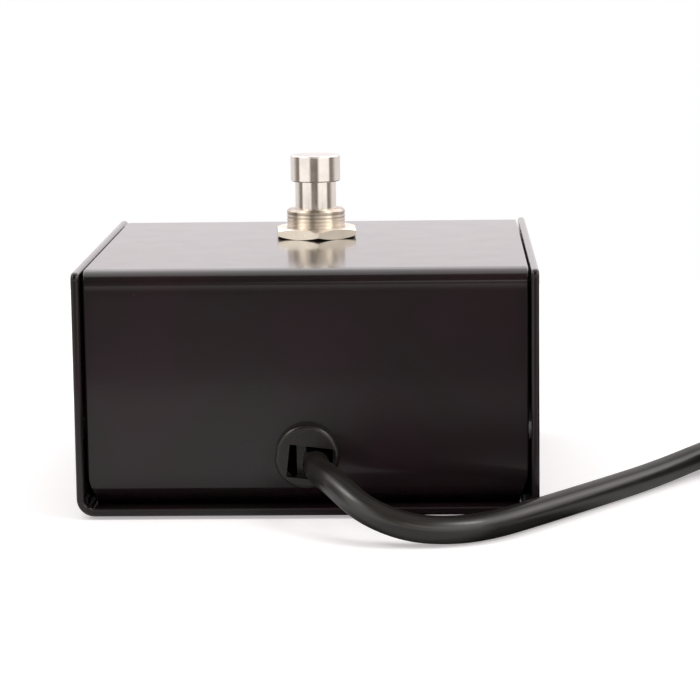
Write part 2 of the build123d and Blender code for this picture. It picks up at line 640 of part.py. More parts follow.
def return_spring():
    """The spring that lifts the plunger, between the chamber's floor and the clip."""
    low = CHAMBER_FLOOR_Z + SPRING_SEAT_GAP
    high = CLIP_TOP_Z - CLIP_THICKNESS - SPRING_SEAT_GAP
    return spring_sleeve(RETURN_SPRING_DIAMETER, RETURN_WIRE_DIAMETER, low, high)


def contact_spring():
    """The spring that presses the moving contact down, under the pusher's collar."""
    low = BRIDGE_TOP_Z + SPRING_SEAT_GAP
    high = COLLAR_UNDER_Z - SPRING_SEAT_GAP
    return spring_sleeve(CONTACT_SPRING_DIAMETER, CONTACT_WIRE_DIAMETER, low, high)


def relief_run(section, front_y, rear_y):
    """Extrudes a section about the strain relief's axis, turned as the strain relief is."""
    return Pos(0, 0, RELIEF_Z) * towards_rear(Rot(0, 0, -RELIEF_TURN) * section, front_y, rear_y)


def relief_round(diameter, flat, front_y, rear_y):
    """A round length of the strain relief, with a flat on its left side."""
    keep = Pos((diameter / 2 - flat) / 2) * Rectangle(diameter / 2 + flat, diameter)
    return relief_run(Circle(diameter / 2) & keep, front_y, rear_y)


def relief_passage(outer_diameter, inset, front_y, rear_y):
    """A length of the strain relief's oblong passage, inside a wall of the least thickness."""
    mouth = Rectangle(RELIEF_MOUTH_WIDTH - 2 * inset, RELIEF_MOUTH_HEIGHT - 2 * inset)
    mouth = Pos(RELIEF_MOUTH_SHIFT, -RELIEF_MOUTH_DROP) * mouth
    return relief_run(mouth & Circle(outer_diameter / 2 - RELIEF_WALL - inset), front_y, rear_y)


def cord_length_inside(diameter, front_y, rear_y):
    """A straight round length on the cord's axis inside the case."""
    return Pos(CORD_X, 0, CORD_Z) * towards_rear(Circle(diameter / 2), front_y, rear_y)


def strain_relief():
    """The moulded grip: a head outside the panel, a barrel through it and a snap ring behind it."""
    inside_y = -PANEL_Y + SHEET + RELIEF_SNAP_GAP
    barrel_end_y = -PANEL_Y + RELIEF_BARREL_LENGTH
    head = relief_round(RELIEF_HEAD_DIAMETER, RELIEF_HEAD_FLAT, -PANEL_Y, RELIEF_FACE_Y)
    head = fillet(head.faces().sort_by(Axis.Y)[0].edges(), RELIEF_HEAD_ROUND)
    barrel = relief_round(RELIEF_BARREL_DIAMETER, RELIEF_BARREL_FLAT, barrel_end_y, -PANEL_Y)
    snap = relief_round(RELIEF_SNAP_DIAMETER, RELIEF_BARREL_FLAT, inside_y + RELIEF_SNAP_LENGTH, inside_y)
    body = head + barrel + snap
    body -= relief_passage(RELIEF_HEAD_DIAMETER, 0, -PANEL_Y, RELIEF_FACE_Y - CUT_OVERRUN)
    return body - relief_passage(RELIEF_BARREL_DIAMETER, 0, barrel_end_y + CUT_OVERRUN, -PANEL_Y - CUT_OVERRUN)


def strain_relief_wedge():
    """The block that grips the cord from the left, deep in the passage."""
    rear_y = RELIEF_FACE_Y + WEDGE_RECESS
    front_y = rear_y + WEDGE_LENGTH
    wedge = relief_passage(RELIEF_BARREL_DIAMETER, WEDGE_FIT, front_y, rear_y)
    wedge -= cord_length_inside(CORD_DIAMETER + 2 * WEDGE_FIT, front_y + CUT_OVERRUN, rear_y - CUT_OVERRUN)
    slab = Rectangle(WEDGE_WIDTH, 2 * RELIEF_MOUTH_HEIGHT)
    middle = Pos(CORD_X - WEDGE_SETBACK - WEDGE_WIDTH / 2, 0, CORD_Z)
    return wedge & (middle * towards_rear(slab, front_y, rear_y))


def cord_inner():
    """The cord's jacket from the strain relief's face to its end inside the case."""
    return cord_length_inside(CORD_DIAMETER, INNER_CORD_END_Y, RELIEF_FACE_Y)


def shrink_sleeve():
    """The sleeve shrunk over the end of the jacket."""
    front_y = INNER_CORD_END_Y + SHRINK_OVERHANG
    rear_y = front_y - SHRINK_LENGTH
    sleeve = cord_length_inside(CORD_DIAMETER + 2 * SHRINK_THICKNESS, front_y, rear_y)
    return sleeve - cord_length_inside(CORD_DIAMETER, front_y + CUT_OVERRUN, rear_y - CUT_OVERRUN)


def lug_point(side):
    """Where a wire meets its lug: the middle of the outer face, at the hole's height."""
    return (side * (TERMINAL_REACH + WIRE_DIAMETER / 2 + FIT), SWITCH_Y, LUG_HOLE_Z)


@cache
def wire(name, side):
    """A wire from the jacket's end up to the lug on one side."""
    start = (CORD_X + side * WIRE_OFFSET, INNER_CORD_END_Y, CORD_Z)
    lug = lug_point(side)
    along = SWITCH_Y - INNER_CORD_END_Y
    rise = LUG_HOLE_Z - CORD_Z
    points = [
        start,
        (start[0], INNER_CORD_END_Y + along * 0.22, CORD_Z),
        (start[0] + (lug[0] - start[0]) * 0.55, INNER_CORD_END_Y + along * 0.5, CORD_Z + rise * 0.12),
        (lug[0], INNER_CORD_END_Y + along * 0.8, CORD_Z + rise * 0.62),
        lug,
    ]
    return tube(name, points, WIRE_DIAMETER)


def signal_wire():
    return wire("signal wire", 1)


def return_wire():
    return wire("return wire", -1)


def solder_joints():
    """A bead of solder on each lug's outer face, shaped round the end of its wire."""
    beads = []
    for side, lead in ((1, signal_wire()), (-1, return_wire())):
        outside = Pos(side * (TERMINAL_REACH + SOLDER_DIAMETER), SWITCH_Y, LUG_HOLE_Z) * Box(
            2 * SOLDER_DIAMETER, 2 * SOLDER_DIAMETER, 2 * SOLDER_DIAMETER)
        bead = Pos(*lug_point(side)) * Sphere(SOLDER_DIAMETER / 2)
        beads.append((bead & outside) - lead)
    return Part() + beads


def heading_vector(angle):
    """A level unit vector, its angle measured from +X."""
    return Vector(cos(radians(angle)), sin(radians(angle)), 0)


def coil_path():
    """The coil's edges: in along the lower layer, up in one half turn, and out along the upper one."""
    heading = heading_vector(LEAD_HEADING)
    inward = Vector(heading.Y, -heading.X, 0)
    start = Vector(*COIL_START, COIL_Z)
    edges = [Edge.make_line(start, start + heading * CORD_DIAMETER)]
    start = edges[0] @ 1
    radii = [COIL_TURN_RADIUS - index * COIL_PITCH / 2 for index in range(HALF_TURNS)]
    climb_radius = radii[-1] - COIL_PITCH / 2
    for radius in radii:
        end = start + inward * (2 * radius)
        edges.append(Edge.make_tangent_arc(start, heading, end))
        start, heading, inward = end, heading * -1, inward * -1
    up = Vector(0, 0, COIL_PITCH)
    arm = sqrt(climb_radius ** 2 + COIL_PITCH ** 2 / 4)
    middle = start + inward * climb_radius + heading * arm + up / 2
    end = start + inward * (2 * climb_radius) + up
    edges.append(Edge.make_tangent_arc(start, heading, middle))
    edges.append(Edge.make_tangent_arc(middle, edges[-1] % 1, end))
    start, heading, inward = end, heading * -1, inward * -1
    for radius in reversed(radii):
        end = start + inward * (2 * radius)
        edges.append(Edge.make_tangent_arc(start, heading, end))
        start, heading, inward = end, heading * -1, inward * -1
    edges.append(Edge.make_line(start, start + heading * CORD_DIAMETER))
    return edges


def least_gap(edges, diameter, steps):
    """The least distance between two turns of a wound tube, measured on points along it."""
    points = []
    along = 0
    for edge in edges:
        for step in range(steps):
            points.append((along + edge.length * step / steps, edge @ (step / steps)))
        along += edge.length
    nearest = along
    for first, (first_along, first_point) in enumerate(points):
        for second_along, second_point in points[first + 1:]:
            if second_along - first_along > 4 * diameter:
                nearest = min(nearest, (second_point - first_point).length)
    return nearest - diameter


def cord_coil():
    """The coil, as one unbroken tube."""
    edges = coil_path()
    print("least gap in the coil", round(least_gap(edges, CORD_DIAMETER, GAP_STEPS), 3))
    return swept("cord coil", Wire(edges), CORD_DIAMETER)


def coil_middle():
    """The middle of the coil, in plan, and the level unit vector from its start towards it."""
    heading = heading_vector(LEAD_HEADING)
    inward = Vector(heading.Y, -heading.X, 0)
    start = Vector(*COIL_START, 0) + heading * CORD_DIAMETER
    return start + inward * (COIL_TURN_RADIUS + COIL_PITCH / 2), inward


def coil_ties():
    """Two flat ties round the coil's bundle, one before and one behind the coil's middle."""
    middle, inward = coil_middle()
    inner_radius = COIL_TURN_RADIUS - HALF_TURNS * COIL_PITCH / 2 - CORD_DIAMETER / 2 - COIL_PITCH / 2
    outer_radius = COIL_TURN_RADIUS + CORD_DIAMETER / 2 + COIL_PITCH / 2
    length = outer_radius - inner_radius + 2 * TIE_GAP
    height = CORD_DIAMETER + COIL_PITCH + 2 * TIE_GAP
    outer = RectangleRounded(length + 2 * TIE_THICKNESS, height + 2 * TIE_THICKNESS, TIE_ROUND + TIE_THICKNESS)
    inner = RectangleRounded(length, height, TIE_ROUND)
    band = extrude(Plane.XZ * (outer - inner), amount=TIE_WIDTH / 2, both=True)
    band = Pos((outer_radius + inner_radius) / 2, 0, COIL_LIFT - TIE_GAP + height / 2) * band
    ties = []
    for turn in (LEAD_HEADING, LEAD_HEADING + 180):
        ties.append(Pos(middle.X, middle.Y, 0) * Rot(0, 0, turn) * band)
    return Part() + ties


def tail_points():
    """The tail's route: level out of the coil, down, and level into the plug's boot."""
    leaving = coil_path()[-1] @ 1
    falling = leaving + heading_vector(TAIL_HEADING) * TAIL_EXIT_RUN
    landed = falling + heading_vector(TAIL_HEADING - TAIL_FALL_TURN) * TAIL_FALL_RUN
    landed = Vector(landed.X, landed.Y, PLUG_Z)
    return [leaving, falling, landed, landed + heading_vector(PLUG_HEADING) * TAIL_PLUG_RUN]


def plug_place():
    """Where the plug lies: its axis runs on from the tail's last run."""
    return Pos(*tail_points()[-1]) * Rot(0, 0, PLUG_HEADING) * Rot(0, 90, 0)


def plug_handle():
    """The moulded handle, its ribbed boot and its collar, bored for the pin."""
    boot = PLUG_BOOT_DIAMETER / 2
    handle = PLUG_HANDLE_DIAMETER / 2
    face = PLUG_BOOT_LENGTH + PLUG_HANDLE_LENGTH
    body = Pos(0, 0, PLUG_BOOT_LENGTH) * Cylinder(handle, PLUG_HANDLE_LENGTH, align=FROM_BELOW)
    body = fillet(body.edges().filter_by(GeomType.CIRCLE), PLUG_HANDLE_ROUND)
    shoulder = handle - PLUG_HANDLE_ROUND
    body += turned([(0, 0), (boot, 0), (shoulder, PLUG_BOOT_LENGTH), (0, PLUG_BOOT_LENGTH)])
    body += rod(PLUG_COLLAR_DIAMETER, face, face + PLUG_COLLAR_LENGTH)
    spacing = PLUG_BOOT_LENGTH / PLUG_BOOT_RIBS
    for rib in range(PLUG_BOOT_RIBS):
        low = spacing * (rib + 1) - PLUG_RIB_GAP - PLUG_RIB_DEPTH
        core = boot + (shoulder - boot) * low / PLUG_BOOT_LENGTH - PLUG_RIB_DEPTH
        groove = rod(2 * PLUG_HANDLE_DIAMETER, low, low + PLUG_RIB_GAP)
        body -= groove - rod(2 * core, low - CUT_OVERRUN, low + PLUG_RIB_GAP + CUT_OVERRUN)
    return body - rod(PLUG_ROOT_DIAMETER, pin_start(), pin_start() + PLUG_PIN_SUNK + CUT_OVERRUN)


def pin_start():
    return PLUG_BOOT_LENGTH + PLUG_HANDLE_LENGTH + PLUG_COLLAR_LENGTH - PLUG_PIN_SUNK


def sleeve_end():
    return pin_start() + PLUG_PIN_SUNK + PLUG_SLEEVE_LENGTH


def plug_sleeve():
    """The pin's sleeve, from inside the handle to the insulating ring."""
    shown = rod(PLUG_PIN_DIAMETER, pin_start() + PLUG_PIN_SUNK, sleeve_end())
    root = rod(PLUG_ROOT_DIAMETER, pin_start(), pin_start() + PLUG_PIN_SUNK)
    return shown + root - rod(PLUG_SLEEVE_BORE, pin_start() - CUT_OVERRUN, sleeve_end() + CUT_OVERRUN)


def plug_insulator():
    """The tube between the sleeve and the tip's rod, with its ring that shows."""
    ring = rod(PLUG_PIN_DIAMETER, sleeve_end(), sleeve_end() + PLUG_INSULATOR_LENGTH)
    lining = rod(PLUG_SLEEVE_BORE, pin_start(), sleeve_end())
    return ring + lining - rod(PLUG_ROD_DIAMETER, pin_start() - CUT_OVERRUN, sleeve_end() + 2 * CUT_OVERRUN)


def plug_tip():
    """The tip and its rod: shoulder, neck, bulb and nose."""
    base = sleeve_end() + PLUG_INSULATOR_LENGTH
    rod_radius = PLUG_ROD_DIAMETER / 2
    tip = turned([
        (0, pin_start()),
        (rod_radius, pin_start()),
        (rod_radius, base),
        (PLUG_PIN_DIAMETER / 2, base),
        (PLUG_PIN_DIAMETER / 2, base + PLUG_TIP_SHOULDER),
        (PLUG_TIP_NECK_DIAMETER / 2, base + PLUG_TIP_NECK_AT),
        (PLUG_TIP_BULB_DIAMETER / 2, base + PLUG_TIP_BULB_AT),
        (PLUG_TIP_NOSE_DIAMETER / 2, base + PLUG_TIP_LENGTH),
        (0, base + PLUG_TIP_LENGTH),
    ])
    nose = tip.edges().filter_by(GeomType.CIRCLE).sort_by(Axis.Z)[-1]
    return fillet(nose, PLUG_TIP_ROUND)


def on_axis(solid):
    """Moves a solid of the switch from the Z axis to the switch's place."""
    return Pos(0, SWITCH_Y, 0) * solid


def on_plug(solid):
    """Lays a solid of the plug where the plug lies."""
    return plug_place() * solid


def cord_lead():
    """The cord from the strain relief, down to the floor and on to the coil."""
    leaving = Vector(CORD_X, RELIEF_FACE_Y, CORD_Z)
    coil_start = Vector(*COIL_START, COIL_Z)
    points = [leaving, leaving - Vector(0, LEAD_EXIT_RUN, 0)] + LEAD_MIDDLE
    points += [coil_start - heading_vector(LEAD_HEADING) * LEAD_END_RUN, coil_start]
    return tube("cord lead", points, CORD_DIAMETER)


def cord_tail():
    """The cord from the coil's end to the plug."""
    return tube("cord tail", tail_points(), CORD_DIAMETER)


CASE_PIECES = [base_tray, top_cover, foot_pads, cover_screws, captive_nuts]
SWITCH_PIECES = [
    switch_bushing,
    panel_nut,
    lock_washer,
    jam_nut,
    switch_frame,
    switch_case,
    switch_base,
    terminal_common,
    terminal_make,
    contact_studs,
    return_spring,
    plunger,
    plunger_clip,
    pusher,
    contact_spring,
    moving_contact,
    contact_buttons,
]
CORD_PIECES = [
    strain_relief,
    strain_relief_wedge,
    cord_inner,
    shrink_sleeve,
    signal_wire,
    return_wire,
    solder_joints,
    cord_lead,
    cord_coil,
    coil_ties,
    cord_tail,
]
PLUG_PIECES = [plug_handle, plug_sleeve, plug_insulator, plug_tip]


def main():
    os.makedirs("parts", exist_ok=True)
    solids = {make.__name__: make() for make in CASE_PIECES + CORD_PIECES}
    solids.update({make.__name__: on_axis(make()) for make in SWITCH_PIECES})
    solids.update({make.__name__: on_plug(make()) for make in PLUG_PIECES})
    for name, solid in solids.items():
        export_step(solid, f"parts/{name}.step")


main()
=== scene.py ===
"""A tap tempo foot switch on a pale floor, seen from behind, where its cord leaves it."""

import json
import logging
import math
from abc import ABC, abstractmethod
from collections.abc import Iterable, Sequence
from dataclasses import dataclass, field
from enum import Enum

import bpy
from mathutils import Matrix, Vector

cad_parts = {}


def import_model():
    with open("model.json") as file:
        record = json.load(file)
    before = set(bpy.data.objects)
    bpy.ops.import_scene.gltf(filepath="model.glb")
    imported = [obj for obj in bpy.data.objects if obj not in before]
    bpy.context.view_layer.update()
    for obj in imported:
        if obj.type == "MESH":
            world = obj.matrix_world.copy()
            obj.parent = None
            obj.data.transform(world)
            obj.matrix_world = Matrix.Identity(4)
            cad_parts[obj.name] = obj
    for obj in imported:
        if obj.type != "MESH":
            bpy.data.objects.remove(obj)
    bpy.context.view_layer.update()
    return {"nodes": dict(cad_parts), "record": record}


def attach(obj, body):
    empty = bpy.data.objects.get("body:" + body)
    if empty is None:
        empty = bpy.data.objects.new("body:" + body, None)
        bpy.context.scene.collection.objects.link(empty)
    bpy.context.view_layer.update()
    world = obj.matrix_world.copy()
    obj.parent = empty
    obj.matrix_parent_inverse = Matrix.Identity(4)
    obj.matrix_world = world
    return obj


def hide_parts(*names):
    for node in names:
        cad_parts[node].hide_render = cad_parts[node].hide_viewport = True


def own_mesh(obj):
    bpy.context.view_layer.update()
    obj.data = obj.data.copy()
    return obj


Rgb = tuple[float, float, float]
Point = tuple[float, float, float]
Span = tuple[float, float]
Settings = dict[str, str | bool]
Socket = bpy.types.NodeSocket
Value = Socket | float | int | bool | str | tuple[float, ...] | bpy.types.Material

log = logging.getLogger("foot_switch")

SWITCH_Y = 0.0118  # of the switch's axis
WHITE: Rgb = (1.0, 1.0, 1.0)


class Body(Enum):
    """The bodies that the modelled pieces ride on."""

    CASE = "case"
    PLUNGER = "plunger"


class Slot(Enum):
    """The finishes that the record knows."""

    POWDER_COAT = "powder_coat"
    PAD_RUBBER = "pad_rubber"
    SCREW_STEEL = "screw_steel"
    BUSHING_PLATE = "bushing_plate"
    NUT_PLATE = "nut_plate"
    CAP_PLATE = "cap_plate"
    SPRING_STEEL = "spring_steel"
    FRAME_ZINC = "frame_zinc"
    SWITCH_MOULDING = "switch_moulding"
    PUSHER_NYLON = "pusher_nylon"
    TERMINAL_BRASS = "terminal_brass"
    CONTACT_SILVER = "contact_silver"
    RELIEF_NYLON = "relief_nylon"
    CORD_JACKET = "cord_jacket"
    SLEEVE_BLACK = "sleeve_black"
    WIRE_RED = "wire_red"
    WIRE_WHITE = "wire_white"
    SOLDER = "solder"
    TIE_FABRIC = "tie_fabric"
    PLUG_MOULDING = "plug_moulding"
    PLUG_METAL = "plug_metal"
    PLUG_INSULATION = "plug_insulation"


class Grain(Enum):
    """How the fine marks on a metal run, as the stretch of their pattern along X, Y and Z."""

    EVEN = (1.0, 1.0, 1.0)
    TURNED = (0.06, 0.06, 1.0)
    ROLLED = (0.08, 1.0, 1.0)


def place_in_scene(name: str, data: bpy.types.ID) -> bpy.types.Object:
    """Puts a new object into the scene, at the origin.

    Args:
        name: Its name.
        data: Its mesh, curve, light or camera.

    Returns:
        The object.
    """
    made = bpy.data.objects.new(name, data)
    bpy.context.scene.collection.objects.link(made)
    return made


def new_look(name: str) -> bpy.types.Material:
    """Makes a material with nodes of its own.

    Args:
        name: What it is the look of.

    Returns:
        The material.
    """
    look = bpy.data.materials.new(f"look_{name}")
    look.use_nodes = True
    return look


def smooth(piece: bpy.types.Object, angle: float = math.radians(40)) -> None:
    """Shades a mesh smooth, except at edges sharper than the angle."""
    piece.data.shade_smooth()
    piece.data.set_sharp_from_angle(angle=angle)


class Drawing:
    """A node tree that is drawn up node by node."""

    def __init__(self, tree: bpy.types.NodeTree) -> None:
        """Takes up a tree."""
        self.tree = tree

    @staticmethod
    def inputs_of(node: bpy.types.Node) -> dict[str, Socket]:
        """A node's inputs by name, in small letters; where a name comes twice, the first."""
        return {one.name.lower().replace(" ", "_"): one for one in reversed(node.inputs)}

    def feed(self, socket: Socket, value: Value) -> None:
        """Gives an input its value, or links an output to it.

        Args:
            socket: The input.
            value: A number, a colour, a material or another node's output.
        """
        if isinstance(value, bpy.types.NodeSocket):
            self.tree.links.new(value, socket)
        elif socket.type == "RGBA" and isinstance(value, tuple) and len(value) == 3:
            socket.default_value = (*value, 1.0)
        else:
            socket.default_value = value

    def node(self, kind: str, settings: Settings | None = None, **inputs: Value) -> bpy.types.Node:
        """Adds a node.

        Args:
            kind: The node's type.
            settings: Its properties by name.
            inputs: Its inputs by name, or as in_0, in_1 by number.

        Returns:
            The new node.
        """
        made = self.tree.nodes.new(kind)
        for key, value in (settings or {}).items():
            setattr(made, key, value)
        named = self.inputs_of(made)
        for key, value in inputs.items():
            numbered = key.removeprefix("in_")
            self.feed(made.inputs[int(numbered)] if numbered.isdigit() else named[key], value)
        return made

    def math(self, operation: str, first: Value, second: Value = 0.0) -> Socket:
        """One sum of two numbers."""
        made = self.node("ShaderNodeMath", {"operation": operation}, in_0=first, in_1=second)
        return made.outputs[0]

    def product(self, first: Value, *others: Value) -> Value:
        """Multiplies numbers.

        Args:
            first: The first number.
            others: The others.

        Returns:
            Their product.
        """
        for other in others:
            first = self.math("MULTIPLY", first, other)
        return first


class Sketch(Drawing):
    """The shader nodes of a material or of the world."""

    def __init__(self, tree: bpy.types.NodeTree) -> None:
        """Takes up a tree whose patterns sit in the object's own coordinates.

        Args:
            tree: The tree.
        """
        super().__init__(tree)
        self.coordinates = self.node("ShaderNodeTexCoord").outputs
        self.place: Socket = self.coordinates["Object"]

    def shade(self, **values: Value) -> None:
        """Sets inputs of the material's shader.

        Args:
            values: The inputs by name, in small letters and with underscores.
        """
        inputs = self.inputs_of(self.tree.nodes["Principled BSDF"])
        for key, value in values.items():
            self.feed(inputs[key], value)

    def parts(self, where: Socket) -> tuple[Socket, Socket, Socket]:
        """The X, Y and Z of a place or a direction."""
        return tuple(self.node("ShaderNodeSeparateXYZ", vector=where).outputs)

    def noise(self, size: float, detail: float = 2.0, stretch: Point | None = None) -> Socket:
        """A soft noise from 0 to 1.

        Args:
            size: How large its spots are, in metres.
            detail: How many finer layers it has.
            stretch: The scale of its place along X, Y and Z, or none.

        Returns:
            The noise's value.
        """
        where = self.place
        if stretch is not None:
            where = self.node("ShaderNodeMapping", vector=where, scale=stretch).outputs["Vector"]
        made = self.node("ShaderNodeTexNoise", vector=where, scale=1.0 / size, detail=detail)
        return made.outputs["Fac"]

    def span(self, value: Socket, gives: Span, over: Span = (0.0, 1.0)) -> Socket:
        """Maps a value from one span to another, and no further.

        Args:
            value: The value.
            gives: What the start and the end of its span give.
            over: The span.

        Returns:
            The mapped value.
        """
        (low, high), (start, end) = gives, over
        made = self.node(
            "ShaderNodeMapRange", value=value, from_min=start, from_max=end,
            to_min=low, to_max=high)
        return made.outputs["Result"]

    def rise(self, value: Socket, over: Span) -> Socket:
        """Goes from 0 to 1 as the value crosses the span."""
        return self.span(value, (0.0, 1.0), over)

    def fall(self, value: Socket, over: Span) -> Socket:
        """Goes from 1 to 0 as the value crosses the span."""
        return self.span(value, (1.0, 0.0), over)

    def mix(self, share: Value, first: Value, second: Value) -> Socket:
        """Mixes two colours.

        Args:
            share: How much of the second there is.
            first: The first colour.
            second: The second colour.

        Returns:
            The mixed colour.
        """
        made = self.node("ShaderNodeMix", {"data_type": "RGBA"})
        inputs = {socket.identifier: socket for socket in made.inputs}
        self.feed(inputs["Factor_Float"], share)
        self.feed(inputs["A_Color"], first)
        self.feed(inputs["B_Color"], second)
        return next(socket for socket in made.outputs if socket.identifier == "Result_Color")

    def bump(self, height: Socket, depth: float, below: Socket | None = None) -> Socket:
        """Turns a height into a bumped normal.

        Args:
            height: The height, from 0 to 1.
            depth: What a height of 1 is, in metres.
            below: A normal that is bumped already, or none.

        Returns:
            The normal.
        """
        made = self.node("ShaderNodeBump", height=height, distance=depth)
        if below is not None:
            self.feed(made.inputs["Normal"], below)
        return made.outputs["Normal"]


@dataclass(frozen=True)
class Finish(ABC):
    """A finish: the slot that it fills, its colour and its roughness."""

    slot: Slot
    colour: Rgb
    roughness: float

    @abstractmethod
    def draw(self, sketch: Sketch) -> None:
        """Draws the finish's patterns into a material's nodes."""

    def darker(self, share: float) -> Rgb:
        """The finish's colour, darkened to a share of it."""
        return tuple(share * part for part in self.colour)

    def material(self) -> bpy.types.Material:
        """Makes the material.

        Returns:
            The material, named after its slot.
        """
        look = new_look(self.slot.value)
        sketch = Sketch(look.node_tree)
        sketch.shade(base_color=self.colour, roughness=self.roughness)
        self.draw(sketch)
        return look


@dataclass(frozen=True)
class PowderCoat(Finish):
    """Black powder coat: a smooth gloss skin with a fine orange peel and a few specks of dust.

    The cover's panels fall back a little towards their bends.
    """

    tint: Rgb
    tint_size: float = 0.021
    tint_edges: Span = (0.35, 0.65)
    cloud_size: float = 0.007
    cloud_edges: Span = (0.3, 0.7)
    uneven: float = 0.02
    ior: float = 1.27
    skin_roughness: float = 0.11
    peel_size: float = 0.0011
    peel_depth: float = 0.0000035
    dust_cell: float = 0.0052
    dust_reach: float = 0.022
    dust_share: float = 0.72
    dust_colour: Rgb = (0.32, 0.3, 0.29)
    cover_side: float = 0.0421
    fold_from: float = 0.0419
    foot_from: float = 0.0105
    bend_reach: float = 0.003
    bend_power: float = 3.0
    bend_depth: float = 0.00011

    def towards_bends(self, sketch: Sketch) -> Socket:
        """How far the cover's panels fall back towards their bends.

        Args:
            sketch: The material's nodes.

        Returns:
            The fall, below 0, in parts of the depth at one reach.
        """
        across, _, up = sketch.parts(sketch.place)
        above = sketch.math("MAXIMUM", sketch.math("SUBTRACT", up, self.fold_from), 0.0)
        below = sketch.math("MAXIMUM", sketch.math("SUBTRACT", self.foot_from, up), 0.0)
        reaches = sketch.math("DIVIDE", sketch.math("ADD", above, below), self.bend_reach)
        on_cover = sketch.math("LESS_THAN", sketch.math("ABSOLUTE", across), self.cover_side)
        return sketch.product(sketch.math("POWER", reaches, self.bend_power), on_cover, -1.0)

    def dust(self, sketch: Sketch) -> Socket:
        """Where the specks of dust are.

        Args:
            sketch: The material's nodes.

        Returns:
            1 on a speck, else 0.
        """
        cells = sketch.node(
            "ShaderNodeTexVoronoi", vector=sketch.place, scale=1.0 / self.dust_cell).outputs
        near = sketch.math("LESS_THAN", cells["Distance"], self.dust_reach)
        return sketch.product(near, sketch.math("GREATER_THAN", cells["Color"], self.dust_share))

    def draw(self, sketch: Sketch) -> None:
        """Draws the slow change of tint and gloss, the panels' fall, the peel and the dust.

        Args:
            sketch: The material's nodes.
        """
        patches = sketch.rise(sketch.noise(self.tint_size, detail=1.0), self.tint_edges)
        ground = sketch.mix(patches, self.colour, self.tint)
        panel = sketch.bump(self.towards_bends(sketch), self.bend_depth)
        peel = sketch.bump(sketch.noise(self.peel_size, detail=1.5), self.peel_depth, panel)
        rough = (self.roughness - self.uneven, self.roughness + self.uneven)
        sketch.shade(
            base_color=sketch.mix(self.dust(sketch), ground, self.dust_colour),
            roughness=sketch.span(
                sketch.noise(self.cloud_size, detail=3.0), rough, self.cloud_edges),
            ior=self.ior,
            coat_weight=1.0,
            coat_roughness=self.skin_roughness,
            coat_ior=self.ior,
            normal=peel,
            coat_normal=peel,
        )


@dataclass(frozen=True)
class Metal(Finish):
    """Bare or plated metal, with fine marks from its making and faint smudges.

    A brushed sheen spreads the light along the turning axis and hardly round it.
    """

    grain: Grain = Grain.EVEN
    mark_size: float = 0.0002
    mark_depth: float = 0.0000015
    smudge_size: float = 0.0035
    smudge_edges: Span = (0.35, 0.7)
    smudge_shade: float = 0.88
    smudge_rough: float = 0.05
    brushed: float = 0.0
    along_axis: float = 0.25

    def draw(self, sketch: Sketch) -> None:
        """Draws the marks, the smudges and the brushed sheen.

        Args:
            sketch: The material's nodes.
        """
        marks = sketch.noise(self.mark_size, stretch=self.grain.value)
        smudges = sketch.rise(sketch.noise(self.smudge_size, detail=3.0), self.smudge_edges)
        if self.brushed:
            round_axis = sketch.node(
                "ShaderNodeTangent", {"direction_type": "RADIAL", "axis": "Z"}).outputs["Tangent"]
            sketch.shade(
                anisotropic=self.brushed, anisotropic_rotation=self.along_axis, tangent=round_axis)
        sketch.shade(
            base_color=sketch.mix(smudges, self.colour, self.darker(self.smudge_shade)),
            metallic=1.0,
            roughness=sketch.span(smudges, (self.roughness, self.roughness + self.smudge_rough)),
            normal=sketch.bump(marks, self.mark_depth),
        )


@dataclass(frozen=True)
class Moulding(Finish):
    """Moulded plastic with a fine spark-eroded grain."""

    fleck: Rgb
    fleck_size: float = 0.0009
    fleck_edges: Span = (0.45, 0.75)
    fleck_share: float = 0.4
    cloud_size: float = 0.0045
    cloud_edges: Span = (0.3, 0.7)
    uneven: float = 0.05
    grain_size: float = 0.00016
    grain_depth: float = 0.000005
    ior: float = 1.5

    def draw(self, sketch: Sketch) -> None:
        """Draws the flecks, the slow change of gloss and the grain.

        Args:
            sketch: The material's nodes.
        """
        flecks = sketch.span(
            sketch.noise(self.fleck_size, detail=4.0), (0.0, self.fleck_share), self.fleck_edges)
        rough = (self.roughness - self.uneven, self.roughness + self.uneven)
        sketch.shade(
            base_color=sketch.mix(flecks, self.colour, self.fleck),
            roughness=sketch.span(sketch.noise(self.cloud_size), rough, self.cloud_edges),
            ior=self.ior,
            normal=sketch.bump(sketch.noise(self.grain_size), self.grain_depth),
        )


@dataclass(frozen=True)
class Rubber(Finish):
    """Rubber or soft vinyl: satin, with a fine grain over shallow waves, and a trace of dust.

    Its upper side may be duller than its flanks: painted shade, a weaker reflection where the
    surface faces up.
    """

    dust: Rgb
    ior: float = 1.5
    dust_size: float = 0.008
    dust_edges: Span = (0.45, 0.8)
    dust_share: float = 0.35
    dust_rough: float = 0.12
    gloss: float = 0.5
    upper_painted_shade_gloss: float = 0.5
    painted_shade_from: Span = (0.62, 0.82)
    grain_size: float = 0.00022
    grain_depth: float = 0.000008
    wave_size: float = 0.004
    wave_depth: float = 0.00002

    def draw(self, sketch: Sketch) -> None:
        """Draws the dust, the painted shade of the duller upper side, the waves and the grain.

        Args:
            sketch: The material's nodes.
        """
        dusty = sketch.span(
            sketch.noise(self.dust_size, detail=5.0), (0.0, self.dust_share), self.dust_edges)
        waves = sketch.bump(sketch.noise(self.wave_size, detail=1.0), self.wave_depth)
        # Painted shade: the reflection weakens where the surface faces up.
        if self.upper_painted_shade_gloss != self.gloss:
            upward = sketch.parts(sketch.coordinates["Normal"])[2]
            gloss = sketch.span(upward, (self.gloss, self.upper_painted_shade_gloss), self.painted_shade_from)
            sketch.shade(specular_ior_level=gloss)
        rough = (self.roughness, self.roughness + self.dust_rough)
        sketch.shade(
            base_color=sketch.mix(dusty, self.colour, self.dust),
            roughness=sketch.span(dusty, rough, (0.0, self.dust_share)),
            ior=self.ior,
            normal=sketch.bump(sketch.noise(self.grain_size), self.grain_depth, waves),
        )


